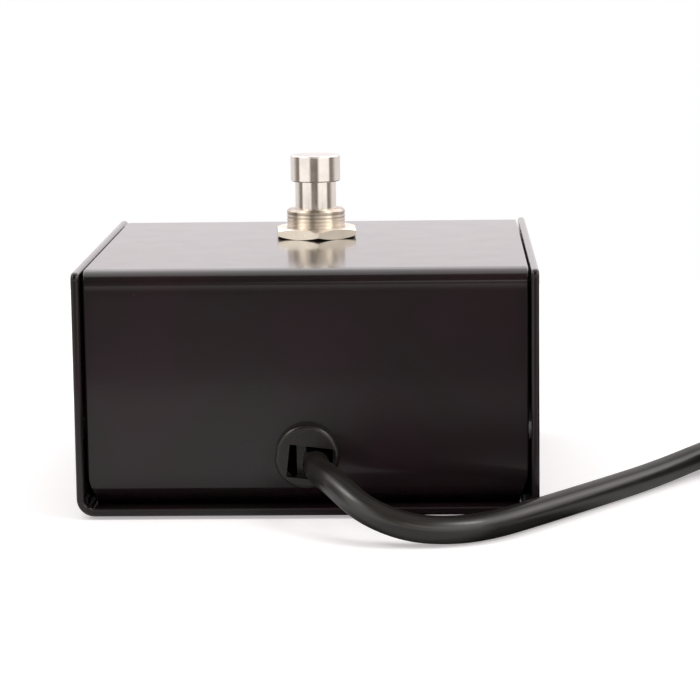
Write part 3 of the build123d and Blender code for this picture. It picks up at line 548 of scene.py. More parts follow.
@dataclass(frozen=True)
class Insulation(Finish):
    """Glossy wire insulation and shrink sleeve, a little uneven along the wire."""

    wave_size: float = 0.002
    wave_edges: Span = (0.4, 0.7)
    wave_depth: float = 0.00003
    wave_shade: float = 0.7
    wave_rough: float = 0.1

    def draw(self, sketch: Sketch) -> None:
        """Draws the unevenness.

        Args:
            sketch: The material's nodes.
        """
        waves = sketch.noise(self.wave_size)
        dull = sketch.rise(waves, self.wave_edges)
        sketch.shade(
            base_color=sketch.mix(dull, self.colour, self.darker(self.wave_shade)),
            roughness=sketch.span(waves, (self.roughness, self.roughness + self.wave_rough)),
            normal=sketch.bump(waves, self.wave_depth),
        )


@dataclass(frozen=True)
class WovenStrap(Finish):
    """A hook-and-loop strap: a tight weave along the strap's own map, under a fuzz of loops."""

    fuzz: Rgb
    cell: float = 0.0006
    cell_shade: float = 0.5
    rib_scale: float = 0.05
    rib_waver: float = 1.5
    weave_depth: float = 0.00009
    fuzz_size: float = 0.00018
    fuzz_edges: Span = (0.45, 0.75)
    fuzz_share: float = 0.6
    fuzz_depth: float = 0.00012
    sheen: float = 0.5
    sheen_roughness: float = 0.5

    def draw(self, sketch: Sketch) -> None:
        """Draws the weave and the fuzz.

        Args:
            sketch: The material's nodes.
        """
        own_map = sketch.coordinates["UV"]
        cells = sketch.node("ShaderNodeTexChecker", vector=own_map, scale=1.0 / self.cell)
        ribs = sketch.node(
            "ShaderNodeTexWave", {"bands_direction": "Y"}, vector=own_map,
            scale=self.rib_scale / self.cell, distortion=self.rib_waver, detail=2.0)
        over_under = sketch.span(cells.outputs["Fac"], (self.cell_shade, 1.0))
        weave = sketch.product(ribs.outputs["Fac"], over_under)
        loops = sketch.noise(self.fuzz_size, detail=4.0)
        fuzzy = sketch.span(loops, (0.0, self.fuzz_share), self.fuzz_edges)
        sketch.shade(
            base_color=sketch.mix(fuzzy, self.colour, self.fuzz),
            sheen_weight=self.sheen,
            sheen_roughness=self.sheen_roughness,
            normal=sketch.bump(loops, self.fuzz_depth, sketch.bump(weave, self.weave_depth)),
        )


def finishes() -> tuple[Finish, ...]:
    """Every finish of the foot switch.

    Returns:
        One finish for each slot.
    """
    return (
        PowderCoat(Slot.POWDER_COAT, (0.0115, 0.0082, 0.0088), 0.24, tint=(0.0165, 0.0074, 0.0102)),
        Rubber(Slot.PAD_RUBBER, (0.022, 0.022, 0.022), 0.75, dust=(0.07, 0.068, 0.065)),
        Metal(Slot.SCREW_STEEL, (0.3, 0.29, 0.3), 0.32),
        Metal(Slot.BUSHING_PLATE, (0.63, 0.56, 0.48), 0.29, Grain.TURNED,
              mark_depth=0.0000008, brushed=1.0),
        Metal(Slot.NUT_PLATE, (0.98, 0.9, 0.79), 0.27, mark_depth=0.0000006),
        Metal(Slot.CAP_PLATE, (0.91, 0.86, 0.81), 0.11, Grain.TURNED, mark_depth=0.0000008),
        Metal(Slot.SPRING_STEEL, (0.62, 0.62, 0.64), 0.22),
        Metal(Slot.FRAME_ZINC, (0.7, 0.71, 0.73), 0.36, Grain.ROLLED),
        Moulding(Slot.SWITCH_MOULDING, (0.09, 0.036, 0.022), 0.38, fleck=(0.17, 0.08, 0.05)),
        Moulding(Slot.PUSHER_NYLON, (0.78, 0.76, 0.68), 0.42, fleck=(0.85, 0.84, 0.78)),
        Metal(Slot.TERMINAL_BRASS, (0.82, 0.63, 0.33), 0.26, Grain.ROLLED),
        Metal(Slot.CONTACT_SILVER, (0.86, 0.85, 0.83), 0.2),
        Moulding(Slot.RELIEF_NYLON, (0.011, 0.008, 0.007), 0.26, fleck=(0.02, 0.016, 0.0145),
                 grain_depth=0.000003, ior=1.42),
        # The cord jacket's duller upper side is painted shade.
        Rubber(Slot.CORD_JACKET, (0.0132, 0.0112, 0.0102), 0.28, dust=(0.02, 0.0178, 0.0165),
               ior=1.6, upper_painted_shade_gloss=0.05, grain_depth=0.000004),
        Insulation(Slot.SLEEVE_BLACK, (0.016, 0.016, 0.016), 0.35),
        Insulation(Slot.WIRE_RED, (0.5, 0.025, 0.02), 0.3),
        Insulation(Slot.WIRE_WHITE, (0.74, 0.73, 0.69), 0.3),
        Metal(Slot.SOLDER, (0.66, 0.66, 0.67), 0.24, mark_size=0.0007, mark_depth=0.00002),
        WovenStrap(Slot.TIE_FABRIC, (0.012, 0.012, 0.013), 0.9, fuzz=(0.045, 0.045, 0.048)),
        Moulding(Slot.PLUG_MOULDING, (0.018, 0.016, 0.016), 0.46, fleck=(0.035, 0.032, 0.031)),
        Metal(Slot.PLUG_METAL, (0.88, 0.84, 0.78), 0.14),
        Insulation(Slot.PLUG_INSULATION, (0.015, 0.015, 0.015), 0.28),
    )


@dataclass
class Wardrobe:
    """The materials by slot, and the slot of each node, as the record has them."""

    nodes: dict[str, bpy.types.Object]
    slots: dict[str, Slot]
    looks: dict[Slot, bpy.types.Material] = field(default_factory=dict)

    def __post_init__(self) -> None:
        """Makes every material."""
        self.looks = {finish.slot: finish.material() for finish in finishes()}

    def dress(self, names: Iterable[str]) -> None:
        """Gives nodes of the frame their finish.

        Args:
            names: The nodes' names.
        """
        for name in names:
            slot = self.slots[name]
            for holder in self.nodes[name].material_slots:
                holder.material = self.looks[slot]
            log.info("%s dressed in %s", name, slot.value)

    def hand_over(
            self, piece: bpy.types.Object, slot: Slot, body: Body,
            nodes: Sequence[str] = ()) -> None:
        """Finishes a modelled piece, and says what it rides on and stands for.

        Args:
            piece: The piece, with its place in its mesh.
            slot: Its finish.
            body: The body that it moves with.
            nodes: The nodes that it stands for.
        """
        if not piece.data.materials:
            piece.data.materials.append(self.looks[slot])
        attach(piece, body.value)
        if nodes:
            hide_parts(*nodes)
        log.info("%s rides on %s in %s", piece.name, body.value, slot.value)


class NodeShape(Drawing):
    """A Geometry Nodes tree with named inputs, run once to give a plain mesh."""

    def __init__(self, name: str) -> None:
        """Starts the tree.

        Args:
            name: The name of the tree and of the piece that it makes.
        """
        super().__init__(bpy.data.node_groups.new(name, "GeometryNodeTree"))
        self.name = name
        self.values: dict[str, Value] = {}
        for way in ("INPUT", "OUTPUT"):
            self.tree.interface.new_socket(
                "Geometry", in_out=way, socket_type="NodeSocketGeometry")
        self.source = self.tree.nodes.new("NodeGroupInput")
        self.drain = self.tree.nodes.new("NodeGroupOutput")

    def size(self, name: str, value: Value, kind: str = "NodeSocketFloat") -> Socket:
        """Adds a named input.

        Args:
            name: The input's name.
            value: What the piece gives it.
            kind: The socket's type.

        Returns:
            The input, as an output of the group's input node.
        """
        self.tree.interface.new_socket(name, in_out="INPUT", socket_type=kind)
        self.values[name] = value
        return self.source.outputs[name]

    def piece(self, shape: Socket, look: bpy.types.Material, start: bpy.types.Mesh | None = None
              ) -> bpy.types.Object:
        """Ends the tree, runs it and keeps what it gives as a plain mesh.

        Args:
            shape: The tree's last geometry.
            look: What the piece is made of.
            start: The mesh that the tree starts from, or none.

        Returns:
            The piece, with no modifier left on it.
        """
        material = self.size("Material", look, "NodeSocketMaterial")
        real = self.node("GeometryNodeRealizeInstances", geometry=shape).outputs[0]
        dressed = self.node("GeometryNodeSetMaterial", geometry=real, material=material)
        self.tree.links.new(dressed.outputs[0], self.drain.inputs[0])
        made = place_in_scene(self.name, start or bpy.data.meshes.new(self.name))
        modifier = made.modifiers.new(self.name, "NODES")
        modifier.node_group = self.tree
        for socket in self.tree.interface.items_tree:
            if socket.in_out == "INPUT" and socket.name in self.values:
                modifier[socket.identifier] = self.values[socket.name]
        graph = bpy.context.evaluated_depsgraph_get()
        plain = bpy.data.meshes.new_from_object(made.evaluated_get(graph))
        made.modifiers.remove(modifier)
        made.data = plain
        return made


@dataclass(frozen=True)
class Viewpoint:
    """Where the photograph was taken from."""

    eye: Point = (0.024743, -0.561663, 0.115818)
    yaw: float = -0.0315
    pitch: float = 0.1596
    roll: float = -0.0125
    lens: float = 143.58
    sensor: float = 36.0
    nearest: float = 0.01

    def build(self) -> None:
        """Places the camera."""
        data = bpy.data.cameras.new("camera")
        data.lens = self.lens
        data.sensor_width = self.sensor
        data.clip_start = self.nearest
        camera = place_in_scene("camera", data)
        camera.matrix_world = (
            Matrix.Translation(self.eye)
            @ Matrix.Rotation(-self.yaw, 4, "Z")
            @ Matrix.Rotation(math.pi / 2 - self.pitch, 4, "X")
            @ Matrix.Rotation(self.roll, 4, "Z"))
        bpy.context.scene.camera = camera


@dataclass(frozen=True)
class Floor:
    """A plain pale floor, which keeps the shadow that falls on it.

    It glows a little, for the camera and in what mirrors it. What mirrors it shows it darker to the
    right of the middle, as painted shade that only reflections show: most beside the case and again
    from dim_behind outwards, and less in the band between them, further out than dim_far and
    further right than dim_to.
    """

    low: Span = (-0.24, -0.19)
    high: Span = (0.32, 0.28)
    colour: Rgb = (0.84, 0.84, 0.84)
    roughness: float = 0.9
    glow: float = 0.4
    glow_colour: Rgb = (1.0, 0.94, 0.957)
    mirrored_glow: float = 0.4
    painted_shade_colour: Rgb = (0.06, 0.055, 0.055)
    dim_from: Span = (-0.012, 0.012)
    dim_to: Span = (0.05, 0.062)
    dim_aside: float = 0.45
    dim_behind: Span = (-0.1, -0.086)
    dim_before: Span = (-0.07, -0.065)
    dim_far: Span = (-0.155, -0.12)
    dim_beyond: float = 0.5

    def mirrored_painted_shade(self, sketch: Sketch) -> Socket:
        """How much painted shade darkens the floor for what mirrors it.

        Args:
            sketch: The floor's nodes.

        Returns:
            The share of the painted shade colour, by the place on the floor.
        """
        right, back, _ = sketch.parts(sketch.place)
        across = sketch.product(
            sketch.rise(right, self.dim_from),
            sketch.span(right, (1.0, self.dim_aside), self.dim_to))
        along = sketch.math(
            "MAXIMUM", sketch.span(back, (1.0, self.dim_aside), self.dim_behind),
            sketch.span(back, (self.dim_aside, 1.0), self.dim_before))
        beyond = sketch.span(back, (self.dim_beyond, 1.0), self.dim_far)
        return sketch.product(beyond, sketch.product(across, along))

    def build(self) -> None:
        """Lays the floor."""
        look = new_look("floor")
        sketch = Sketch(look.node_tree)
        rays = sketch.node("ShaderNodeLightPath").outputs
        glossy = rays["Is Glossy Ray"]
        # Painted shade: for glossy rays only, the floor's colour is darkened in patches right of
        # the middle.
        dim = sketch.product(glossy, self.mirrored_painted_shade(sketch))
        mirrored = sketch.product(sketch.math("SUBTRACT", glossy, dim), self.mirrored_glow)
        seen = sketch.math("MAXIMUM", rays["Is Camera Ray"], mirrored)
        sketch.shade(
            base_color=sketch.mix(dim, self.colour, self.painted_shade_colour),
            roughness=self.roughness,
            specular_ior_level=0.0,
            emission_color=self.glow_colour,
            emission_strength=sketch.product(seen, self.glow),
        )
        mesh = bpy.data.meshes.new("floor")
        (left, rear), (right, front) = self.low, self.high
        places = [(left, rear, 0.0), (right, rear, 0.0), (right, front, 0.0), (left, front, 0.0)]
        mesh.from_pydata(places, [], [(0, 1, 2, 3)])
        mesh.materials.append(look)
        place_in_scene("floor", mesh)


@dataclass(frozen=True)
class Room:
    """The room round the object, by direction, as only metal and gloss show it.

    Two soft boxes stand on the camera's side, with a strip between them and a dark gap beside
    them. The far side is a white wall over a pale table, under a bright ceiling. One window is high
    on the right. The camera sees plain white, and all other light has one plain level.
    """

    level: float = 0.62
    turn: float = math.radians(4)
    softbox: Rgb = (1.09, 1.05, 1.02)
    softbox_high: Rgb = (1.4, 1.34, 1.26)
    high_from: Span = (0.0, 0.06)
    slot: Span = (0.25, 0.41)
    dark: Rgb = (0.13, 0.105, 0.085)
    strip: Rgb = (1.2, 1.16, 1.09)
    strip_low: Span = (-0.068, -0.01)
    strip_high: Span = (0.18, 0.3)
    low_left: Rgb = (0.45, 0.39, 0.41)
    low_right: Rgb = (0.21, 0.17, 0.18)
    low_below: Span = (-0.128, -0.118)
    low_across: Span = (0.03, 0.08)
    gap: Rgb = (0.25, 0.22, 0.19)
    gap_from: Span = (-0.33, -0.23)
    gap_top: Span = (0.45, 0.6)
    wall: Rgb = (1.0, 0.94, 0.957)
    wall_from: Span = (0.02, 0.42)
    table: Rgb = (0.82, 0.78, 0.77)
    table_edge: Span = (-0.03, 0.0)
    ceiling: Rgb = (1.9, 1.82, 1.84)
    ceiling_from: Span = (0.3, 0.5)
    window: Rgb = (2.3, 2.2, 2.12)
    window_low: Span = (0.36, 0.41)
    window_high: Span = (0.52, 0.58)
    window_from: Span = (0.0, 0.06)

    def between_boxes(self, sketch: Sketch, right: Socket, up: Socket) -> Socket:
        """The middle of the camera's side: a lit strip, with the dark above and below it.

        Args:
            sketch: The world's nodes.
            right: The direction's part to the right.
            up: The direction's part upwards.

        Returns:
            The colour.
        """
        lit = sketch.product(sketch.rise(up, self.strip_low), sketch.fall(up, self.strip_high))
        strip = sketch.mix(lit, self.dark, self.strip)
        low = sketch.mix(sketch.rise(right, self.low_across), self.low_left, self.low_right)
        return sketch.mix(sketch.fall(up, self.low_below), strip, low)

    def near_side(self, sketch: Sketch, right: Socket, up: Socket, away: Socket) -> Socket:
        """The camera's side, with its soft boxes and the gap beside them.

        Args:
            sketch: The world's nodes.
            right: The direction's part to the right.
            up: The direction's part upwards.
            away: How far the level direction points away from the camera, from -1 to 1.

        Returns:
            The colour.
        """
        between = self.between_boxes(sketch, right, up)
        box = sketch.mix(sketch.rise(up, self.high_from), self.softbox, self.softbox_high)
        aside = sketch.rise(sketch.math("ABSOLUTE", right), self.slot)
        level = sketch.fall(sketch.math("ABSOLUTE", up), self.gap_top)
        beside = sketch.product(sketch.rise(away, self.gap_from), level)
        return sketch.mix(beside, sketch.mix(aside, between, box), self.gap)

    def far_side(self, sketch: Sketch, up: Socket) -> Socket:
        """The wall behind the object, over the table and under the ceiling.

        Args:
            sketch: The world's nodes.
            up: The direction's part upwards.

        Returns:
            The colour.
        """
        wall = sketch.mix(sketch.rise(up, self.ceiling_from), self.wall, self.ceiling)
        return sketch.mix(sketch.rise(up, self.table_edge), self.table, wall)

    def build(self) -> None:
        """Puts the room round the scene."""
        world = bpy.data.worlds.new("studio")
        world.use_nodes = True
        bpy.context.scene.world = world
        sketch = Sketch(world.node_tree)
        facing = sketch.node(
            "ShaderNodeVectorRotate", {"rotation_type": "Z_AXIS"},
            vector=sketch.coordinates["Generated"], angle=self.turn)
        right, back, up = sketch.parts(facing.outputs["Vector"])
        flat = sketch.node("ShaderNodeCombineXYZ", x=right, y=back).outputs[0]
        unit = sketch.node("ShaderNodeVectorMath", {"operation": "NORMALIZE"}, vector=flat)
        away = sketch.parts(unit.outputs[0])[1]
        near, far = self.near_side(sketch, right, up, away), self.far_side(sketch, up)
        walls = sketch.mix(sketch.rise(away, self.wall_from), near, far)
        framed = sketch.product(
            sketch.rise(up, self.window_low), sketch.fall(up, self.window_high),
            sketch.rise(right, self.window_from))
        whole = sketch.mix(framed, walls, self.window)
        rays = sketch.node("ShaderNodeLightPath").outputs
        lit = sketch.mix(rays["Is Glossy Ray"], (self.level,) * 3, whole)
        clear = sketch.math("MAXIMUM", rays["Is Camera Ray"], rays["Is Transmission Ray"])
        shown = sketch.mix(clear, lit, WHITE)
        sketch.feed(world.node_tree.nodes["Background"].inputs["Color"], shown)


@dataclass(frozen=True)
class Lamp:
    """A soft lamp that looks at the switch."""

    name: str
    place: Point
    size: Span
    power: float
    colour: Rgb = (1.0, 0.975, 0.95)
    in_gloss: bool = True

    def build(self, target: Vector) -> None:
        """Hangs the lamp.

        Args:
            target: The point that it looks at.
        """
        light = bpy.data.lights.new(self.name, "AREA")
        light.shape = "RECTANGLE"
        light.size, light.size_y = self.size
        light.energy = self.power
        light.color = self.colour
        lamp = place_in_scene(self.name, light)
        aim = (target - Vector(self.place)).to_track_quat("-Z", "Y").to_matrix().to_4x4()
        lamp.matrix_world = Matrix.Translation(self.place) @ aim
        lamp.visible_camera = False
        lamp.visible_glossy = self.in_gloss


@dataclass(frozen=True)
class Studio:
    """The camera, the floor, the room and the lamps."""

    target: Point = (0.0, 0.0, 0.03)
    lamps: tuple[Lamp, ...] = (
        Lamp("softbox_left", (-0.74, -0.3, 0.9), (0.38, 0.38), 2.6),
        Lamp("softbox_right", (0.74, -0.3, 0.9), (0.38, 0.38), 2.6),
        Lamp("softbox_top", (0.0, 0.1, 1.1), (0.9, 0.6), 2.8, in_gloss=False),
    )

    def build(self) -> None:
        """Sets up the whole studio."""
        Viewpoint().build()
        Floor().build()
        Room().build()
        for lamp in self.lamps:
            lamp.build(Vector(self.target))
        bpy.context.scene.view_settings.view_transform = "Standard"


@dataclass(frozen=True)
class Cord:
    """The cord, from the strain relief over the floor into the tied coil, and on to its plug.

    The tail's runs are (length, turn to the left in degrees, height at its end).
    """

    diameter: float = 0.0052
    length: float = 1.9698
    exit: Point = (0.0017, -0.0441, 0.0105)
    lead: tuple[Point, ...] = (
        (0.0022, -0.0494, 0.0105),
        (0.0039, -0.0553, 0.0108),
        (0.0066, -0.0603, 0.0095),
        (0.0115, -0.0655, 0.0062),
        (0.0193, -0.0674, 0.0034),
        (0.0273, -0.0664, 0.0027),
        (0.0345, -0.0622, 0.0027),
        (0.0423, -0.0525, 0.0027),
        (0.0560, -0.0336, 0.0026),
        (0.0680, -0.0167, 0.0026),
        (0.08079, 0.00119, 0.0037),
    )
    coil_start: Point = (0.0895, 0.0134, 0.0037)
    heading: float = math.radians(54.5)
    turn_radius: float = 0.042
    pitch: float = 0.00575
    half_turns: int = 9
    half_turn_points: int = 12
    tail: tuple[Point, ...] = (
        (0.013, 0.0, 0.00945),
        (0.014, -12.5, 0.0055),
        (0.012, -24.5, 0.0055),
    )
    spline_order: int = 3
    spline_steps: int = 8
    ring_steps: int = 5

    def coil_points(self) -> tuple[list[Vector], Vector]:
        """The coil's own points: inwards below, up in one half turn, and outwards above.

        Returns:
            The points, and the end of the coil.
        """
        radii = [self.turn_radius - index * self.pitch / 2 for index in range(self.half_turns)]
        climb = radii[-1] - self.pitch / 2
        ahead = Vector((math.cos(self.heading), math.sin(self.heading), 0.0))
        side = Vector((ahead.y, -ahead.x, 0.0))
        start = Vector(self.coil_start)
        points = [start]
        start = start + ahead * self.diameter
        step = math.pi / self.half_turn_points
        for radius in [*radii, climb, *reversed(radii)]:
            rise = self.pitch if radius == climb else 0.0
            middle = start + side * radius
            for index in range(self.half_turn_points):
                angle = (index + 0.5) * step
                spoke = ahead * math.sin(angle) - side * math.cos(angle)
                lift = Vector((0.0, 0.0, rise * angle / math.pi))
                points.append(middle + spoke * (radius / math.cos(step / 2)) + lift)
            start = middle + side * radius + Vector((0.0, 0.0, rise))
            ahead, side = -ahead, -side
        return points, start + ahead * self.diameter

    def tail_points(self, leaving: Vector) -> list[Vector]:
        """The tail's points, down to the plug.

        Args:
            leaving: The end of the coil.

        Returns:
            The points, of which the last is at the plug's boot.
        """
        points = [leaving]
        for run, turn, height in self.tail:
            angle = self.heading + math.pi + math.radians(turn)
            last = points[-1]
            reach = Vector((math.cos(angle), math.sin(angle), 0.0)) * run
            points.append(Vector((last.x + reach.x, last.y + reach.y, height)))
        return points

    def build(self, wardrobe: Wardrobe, on_it: Sequence[bpy.types.Object]) -> None:
        """Lays the cord as one spline.

        Args:
            wardrobe: Gives the jacket's material.
            on_it: The plug's pieces and the ties; not used.
        """
        coil, leaving = self.coil_points()
        points = [Vector(self.exit), *map(Vector, self.lead), *coil, *self.tail_points(leaving)]
        curve = bpy.data.curves.new("cord", "CURVE")
        curve.dimensions = "3D"
        curve.bevel_depth = self.diameter / 2
        curve.bevel_resolution = self.ring_steps
        curve.use_fill_caps = True
        spline = curve.splines.new("NURBS")
        spline.points.add(len(points) - 1)
        for knot, point in zip(spline.points, points):
            knot.co = (*point, 1.0)
        spline.order_u = self.spline_order
        spline.use_endpoint_u = True
        spline.resolution_u = self.spline_steps
        cord = place_in_scene("cord", curve)
        wardrobe.hand_over(
            cord, Slot.CORD_JACKET, Body.CASE, ("cord_lead", "cord_coil", "cord_tail"))


@dataclass(frozen=True)
class CoilTies:
    """Two hook-and-loop straps round the coil's bundle, each lapped over itself on top."""

    middle: Span = (0.12905, -0.00843)
    turns: tuple[float, ...] = (54.5, 234.5)
    inside: Span = (0.01035, 0.0478)
    base: float = 0.0008
    height: float = 0.01155
    corner: float = 0.0024
    thickness: float = 0.0008
    width: float = 0.012
    lap: float = 0.013
    lap_gap: float = 0.00006
    lap_ramp: float = 0.005
    seam_at: float = 0.024
    step: float = 0.0008
    edge_round: float = 0.00025
    stitch_count: int = 7
    stitch_inset: float = 0.0014
    stitch_from_end: float = 0.0021
    stitch_size: Point = (0.00042, 0.00013, 0.00011)
    stitch_faces: tuple[int, int] = (10, 6)

    def runs(self) -> Span:
        """The lengths of the loop's straight runs, across and up."""
        bends = 2 * self.corner
        return self.inside[1] - self.inside[0] - bends, self.height - bends

    def once_round(self) -> float:
        """The length once round, on the inside of the strap."""
        return 2 * sum(self.runs()) + math.tau * self.corner

    def on_loop(self, along: float, out: float) -> Vector:
        """A point of the loop, in the upright plane through the coil's middle.

        Args:
            along: The way along the inside of the strap, from the seam on top, outwards.
            out: How far out from the inside it is.

        Returns:
            The point as (radius, 0, height).
        """
        across, up = self.runs()
        bend = math.pi / 2 * self.corner
        low, high = self.inside[0] + self.corner, self.inside[1] - self.corner
        top = self.height - self.corner
        centres = ((high, top), (high, self.corner), (low, self.corner), (low, top))
        sides = (across, bend, up, bend, across, bend, up, bend)
        rest = (along + self.seam_at - self.corner) % sum(sides)
        for index, side in enumerate(sides):
            if rest <= side:
                break
            rest -= side
        quarter, on_bend = divmod(index, 2)
        turn = math.pi / 2 * (1 - quarter) - (rest / self.corner if on_bend else 0.0)
        outward = Vector((math.cos(turn), 0.0, math.sin(turn)))
        place = Vector((centres[quarter][0], 0.0, centres[quarter][1]))
        place += outward * (self.corner + out)
        if not on_bend:
            place -= Vector((outward.z, 0.0, -outward.x)) * (side - rest)
        return place

    def stations(self) -> list[Span]:
        """The places along the strap and how far out its middle runs at each.

        Returns:
            Pairs of the way along and the distance out.
        """
        once = self.once_round()
        whole = once + self.lap
        count = round(whole / self.step)
        found = []
        for index in range(count + 1):
            along = whole * index / count
            share = min(max((along - once + self.lap_ramp) / self.lap_ramp, 0.0), 1.0)
            eased = share * share * (3 - 2 * share)
            found.append((along, self.thickness / 2 + eased * (self.thickness + self.lap_gap)))
        return found

    def section(self) -> list[Span]:
        """The strap's section: a flat strip with rounded edges.

        Returns:
            Points as (across, out), once round.
        """
        wide, thick, edge = self.width / 2, self.thickness / 2, self.edge_round
        top = [(x, thick) for x in (-wide + edge, -wide / 2, 0.0, wide / 2, wide - edge)]
        return [(-wide, thick - edge), *top, (wide, thick - edge), (wide, -thick + edge),
                *[(x, -y) for x, y in reversed(top)], (-wide, -thick + edge)]

    def on_coil(self, turn: float, point: Vector) -> Vector:
        """Turns a point, (radius, across, height), by degrees about the coil's middle."""
        turned = Matrix.Rotation(math.radians(turn), 3, "Z") @ point
        return turned + Vector((*self.middle, self.base))

    def strap(self, turn: float, name: str) -> bpy.types.Object:
        """Models one strap with its own map.

        Args:
            turn: Its direction from the coil's middle, in degrees.
            name: The piece's name.

        Returns:
            The strap.
        """
        section, stations = self.section(), self.stations()
        points = [
            self.on_coil(turn, self.on_loop(along, out + thick) + Vector((0.0, across, 0.0)))
            for along, out in stations for across, thick in section]
        ring = len(section)
        last = len(points) - ring
        faces = []
        for base in range(0, last, ring):
            for corner in range(ring):
                following = base + (corner + 1) % ring
                faces.append((base + corner, following, following + ring, base + ring + corner))
        faces.append(tuple(reversed(range(ring))))
        faces.append(tuple(range(last, last + ring)))
        mesh = bpy.data.meshes.new(name)
        mesh.from_pydata([tuple(point) for point in points], [], faces)
        layer = mesh.uv_layers.new(name="UVMap")
        around = [0.0]
        for first, second in zip(section, section[1:]):
            around.append(around[-1] + math.dist(first, second))
        for loop in mesh.loops:
            station, corner = divmod(loop.vertex_index, ring)
            layer.data[loop.index].uv = (stations[station][0], around[corner])
        strap = place_in_scene(name, mesh)
        smooth(strap)
        return strap

    def stitches(self, look: bpy.types.Material) -> bpy.types.Object:
        """Sews a row of stitches across each strap's free end.

        Args:
            look: The thread's material.

        Returns:
            The stitches of both straps, as one piece.
        """
        reach = self.width / 2 - self.stitch_inset
        along = self.once_round() + self.lap - self.stitch_from_end
        place = self.on_loop(along, 2 * self.thickness + self.lap_gap)
        ends = [tuple(self.on_coil(turn, place + Vector((0.0, side * reach, 0.0))))
                for turn in self.turns for side in (-1, 1)]
        mesh = bpy.data.meshes.new("tie_stitch_lines")
        mesh.from_pydata(ends, [(0, 1), (2, 3)], [])
        shape = NodeShape("tie_stitches")
        count = shape.size("Stitches", self.stitch_count, "NodeSocketInt")
        size = shape.size("Stitch Size", self.stitch_size, "NodeSocketVector")
        line = shape.node("GeometryNodeMeshToCurve", in_0=shape.source.outputs["Geometry"])
        spaced = shape.node("GeometryNodeResampleCurve", curve=line.outputs[0], count=count)
        segments, rings = self.stitch_faces
        ball = shape.node(
            "GeometryNodeMeshUVSphere", segments=segments, rings=rings, radius=1.0)
        tangent = shape.node("GeometryNodeInputTangent")
        turned = shape.node(
            "FunctionNodeAlignRotationToVector", {"axis": "X"}, vector=tangent.outputs[0])
        placed = shape.node(
            "GeometryNodeInstanceOnPoints", points=spaced.outputs[0], instance=ball.outputs[0],
            rotation=turned.outputs[0], scale=size)
        return shape.piece(placed.outputs[0], look, mesh)

    def build(self, wardrobe: Wardrobe) -> list[bpy.types.Object]:
        """Ties the coil.

        Args:
            wardrobe: Gives the straps' material.

        Returns:
            The straps and their stitches.
        """
        straps = [
            self.strap(turn, f"coil_tie_{number}") for number, turn in enumerate(self.turns, 1)]
        stitches = self.stitches(wardrobe.looks[Slot.TIE_FABRIC])
        for strap in straps:
            wardrobe.hand_over(strap, Slot.TIE_FABRIC, Body.CASE, ("coil_ties",))
        wardrobe.hand_over(stitches, Slot.TIE_FABRIC, Body.CASE)
        return [*straps, stitches]


@dataclass(frozen=True)
class CoilSpring:
    """A wire spring about the switch's axis, with closed ends."""

    name: str
    node: str
    body: Body
    joint: str
    radius: float
    wire: float
    low: float
    high: float
    anchor: float
    keep: float
    turns: float
    closed_turns: float = 0.75
    steps: int = 140
    wire_steps: int = 12

    def build(self, wardrobe: Wardrobe) -> None:
        """Winds the spring.

        Args:
            wardrobe: Gives the steel's material.
        """
        shape = NodeShape(self.name)
        radius = shape.size("Radius", self.radius - self.wire / 2)
        wire = shape.size("Wire Radius", self.wire / 2)
        low = shape.size("Low", self.low + self.wire / 2)
        high = shape.size("High", self.high - self.wire / 2)
        turns = shape.size("Turns", self.turns)
        axis_y = shape.size("Axis Y", SWITCH_Y)
        line = shape.node("GeometryNodeCurvePrimitiveLine").outputs[0]
        spaced = shape.node("GeometryNodeResampleCurve", curve=line, count=self.steps).outputs[0]
        along = shape.node("GeometryNodeSplineParameter").outputs["Factor"]
        turned = shape.math("MULTIPLY", along, turns)
        angle = shape.math("MULTIPLY", turned, math.tau)
        free = shape.math("SUBTRACT", turns, self.closed_turns)
        rise = shape.node(
            "ShaderNodeMapRange", value=turned, from_min=self.closed_turns, from_max=free,
            to_min=low, to_max=high).outputs[0]
        x = shape.math("MULTIPLY", shape.math("COSINE", angle), radius)
        y = shape.math("ADD", shape.math("MULTIPLY", shape.math("SINE", angle), radius), axis_y)
        place = shape.node("ShaderNodeCombineXYZ", x=x, y=y, z=rise).outputs[0]
        helix = shape.node("GeometryNodeSetPosition", geometry=spaced, position=place).outputs[0]
        ring = shape.node(
            "GeometryNodeCurvePrimitiveCircle", resolution=self.wire_steps, radius=wire).outputs[0]
        tube = shape.node(
            "GeometryNodeCurveToMesh", curve=helix, profile_curve=ring, fill_caps=True).outputs[0]
        spring = shape.piece(tube, wardrobe.looks[Slot.SPRING_STEEL])
        smooth(spring)
        wardrobe.hand_over(spring, Slot.SPRING_STEEL, self.body, (self.node,))
        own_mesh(spring)


@dataclass(frozen=True)
class Assembly:
    """Nodes of the frame that belong together, and get their finish."""

    nodes: tuple[str, ...] = ()

    def build(self, wardrobe: Wardrobe) -> list[bpy.types.Object]:
        """Finishes the nodes.

        Args:
            wardrobe: Gives the materials.

        Returns:
            The nodes' objects.
        """
        wardrobe.dress(self.nodes)
        return [wardrobe.nodes[name] for name in self.nodes]


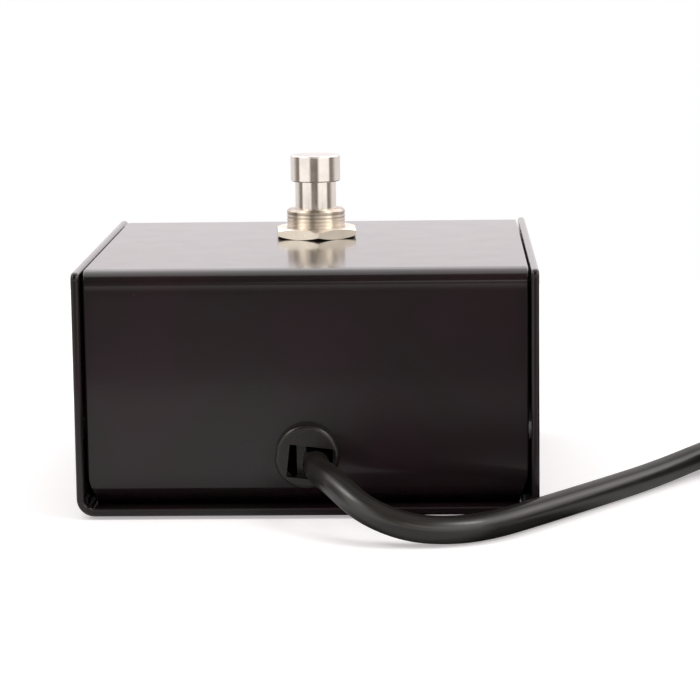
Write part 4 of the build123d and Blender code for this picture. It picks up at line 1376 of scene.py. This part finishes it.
@dataclass(frozen=True)
class Enclosure(Assembly):
    """The tray, the cover, the pads under it and the screws that join them."""

    nodes: tuple[str, ...] = (
        "base_tray", "top_cover", "foot_pads", "cover_screws", "captive_nuts")


@dataclass(frozen=True)
class CordEntry(Assembly):
    """The strain relief, and what the cord is inside the case."""

    nodes: tuple[str, ...] = (
        "strain_relief", "strain_relief_wedge", "cord_inner", "shrink_sleeve", "signal_wire",
        "return_wire", "solder_joints")


@dataclass(frozen=True)
class JackPlug(Assembly):
    """The plug on the cord's far end."""

    nodes: tuple[str, ...] = ("plug_handle", "plug_sleeve", "plug_insulator", "plug_tip")


@dataclass(frozen=True)
class FootSwitch(Assembly):
    """The switch itself, from its cap down to its terminals."""

    nodes: tuple[str, ...] = (
        "switch_bushing", "panel_nut", "lock_washer", "jam_nut", "plunger", "plunger_clip",
        "switch_frame", "switch_case", "switch_base", "pusher", "terminal_common",
        "terminal_make", "moving_contact", "contact_studs", "contact_buttons")
    springs: tuple[CoilSpring, ...] = (
        CoilSpring(
            name="return_coil", node="return_spring", body=Body.CASE, joint="plunger_press",
            radius=0.0052, wire=0.0007, low=0.03195, high=0.0383, anchor=0.03195, keep=0.528,
            turns=3.5),
        CoilSpring(
            name="contact_coil", node="contact_spring", body=Body.PLUNGER, joint="contact_lag",
            radius=0.0022, wire=0.00035, low=0.02755, high=0.02965, anchor=0.02965, keep=0.715,
            turns=2.75),
    )

    def wind_springs(self, wardrobe: Wardrobe) -> None:
        """Winds both springs."""
        for spring in self.springs:
            spring.build(wardrobe)


def main() -> None:
    """Builds the studio and dresses the foot switch."""
    logging.basicConfig(level=logging.INFO, format="%(name)s: %(message)s")
    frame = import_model()
    slots = {row["node"]: Slot(row["material_slot"]) for row in frame["record"]["subparts"]}
    Studio().build()
    wardrobe = Wardrobe(frame["nodes"], slots)
    on_cord = JackPlug().build(wardrobe) + CoilTies().build(wardrobe)
    Cord().build(wardrobe, on_cord)
    CordEntry().build(wardrobe)
    Enclosure().build(wardrobe)
    switch = FootSwitch()
    switch.build(wardrobe)
    switch.wind_springs(wardrobe)


if __name__ == "__main__":
    main()
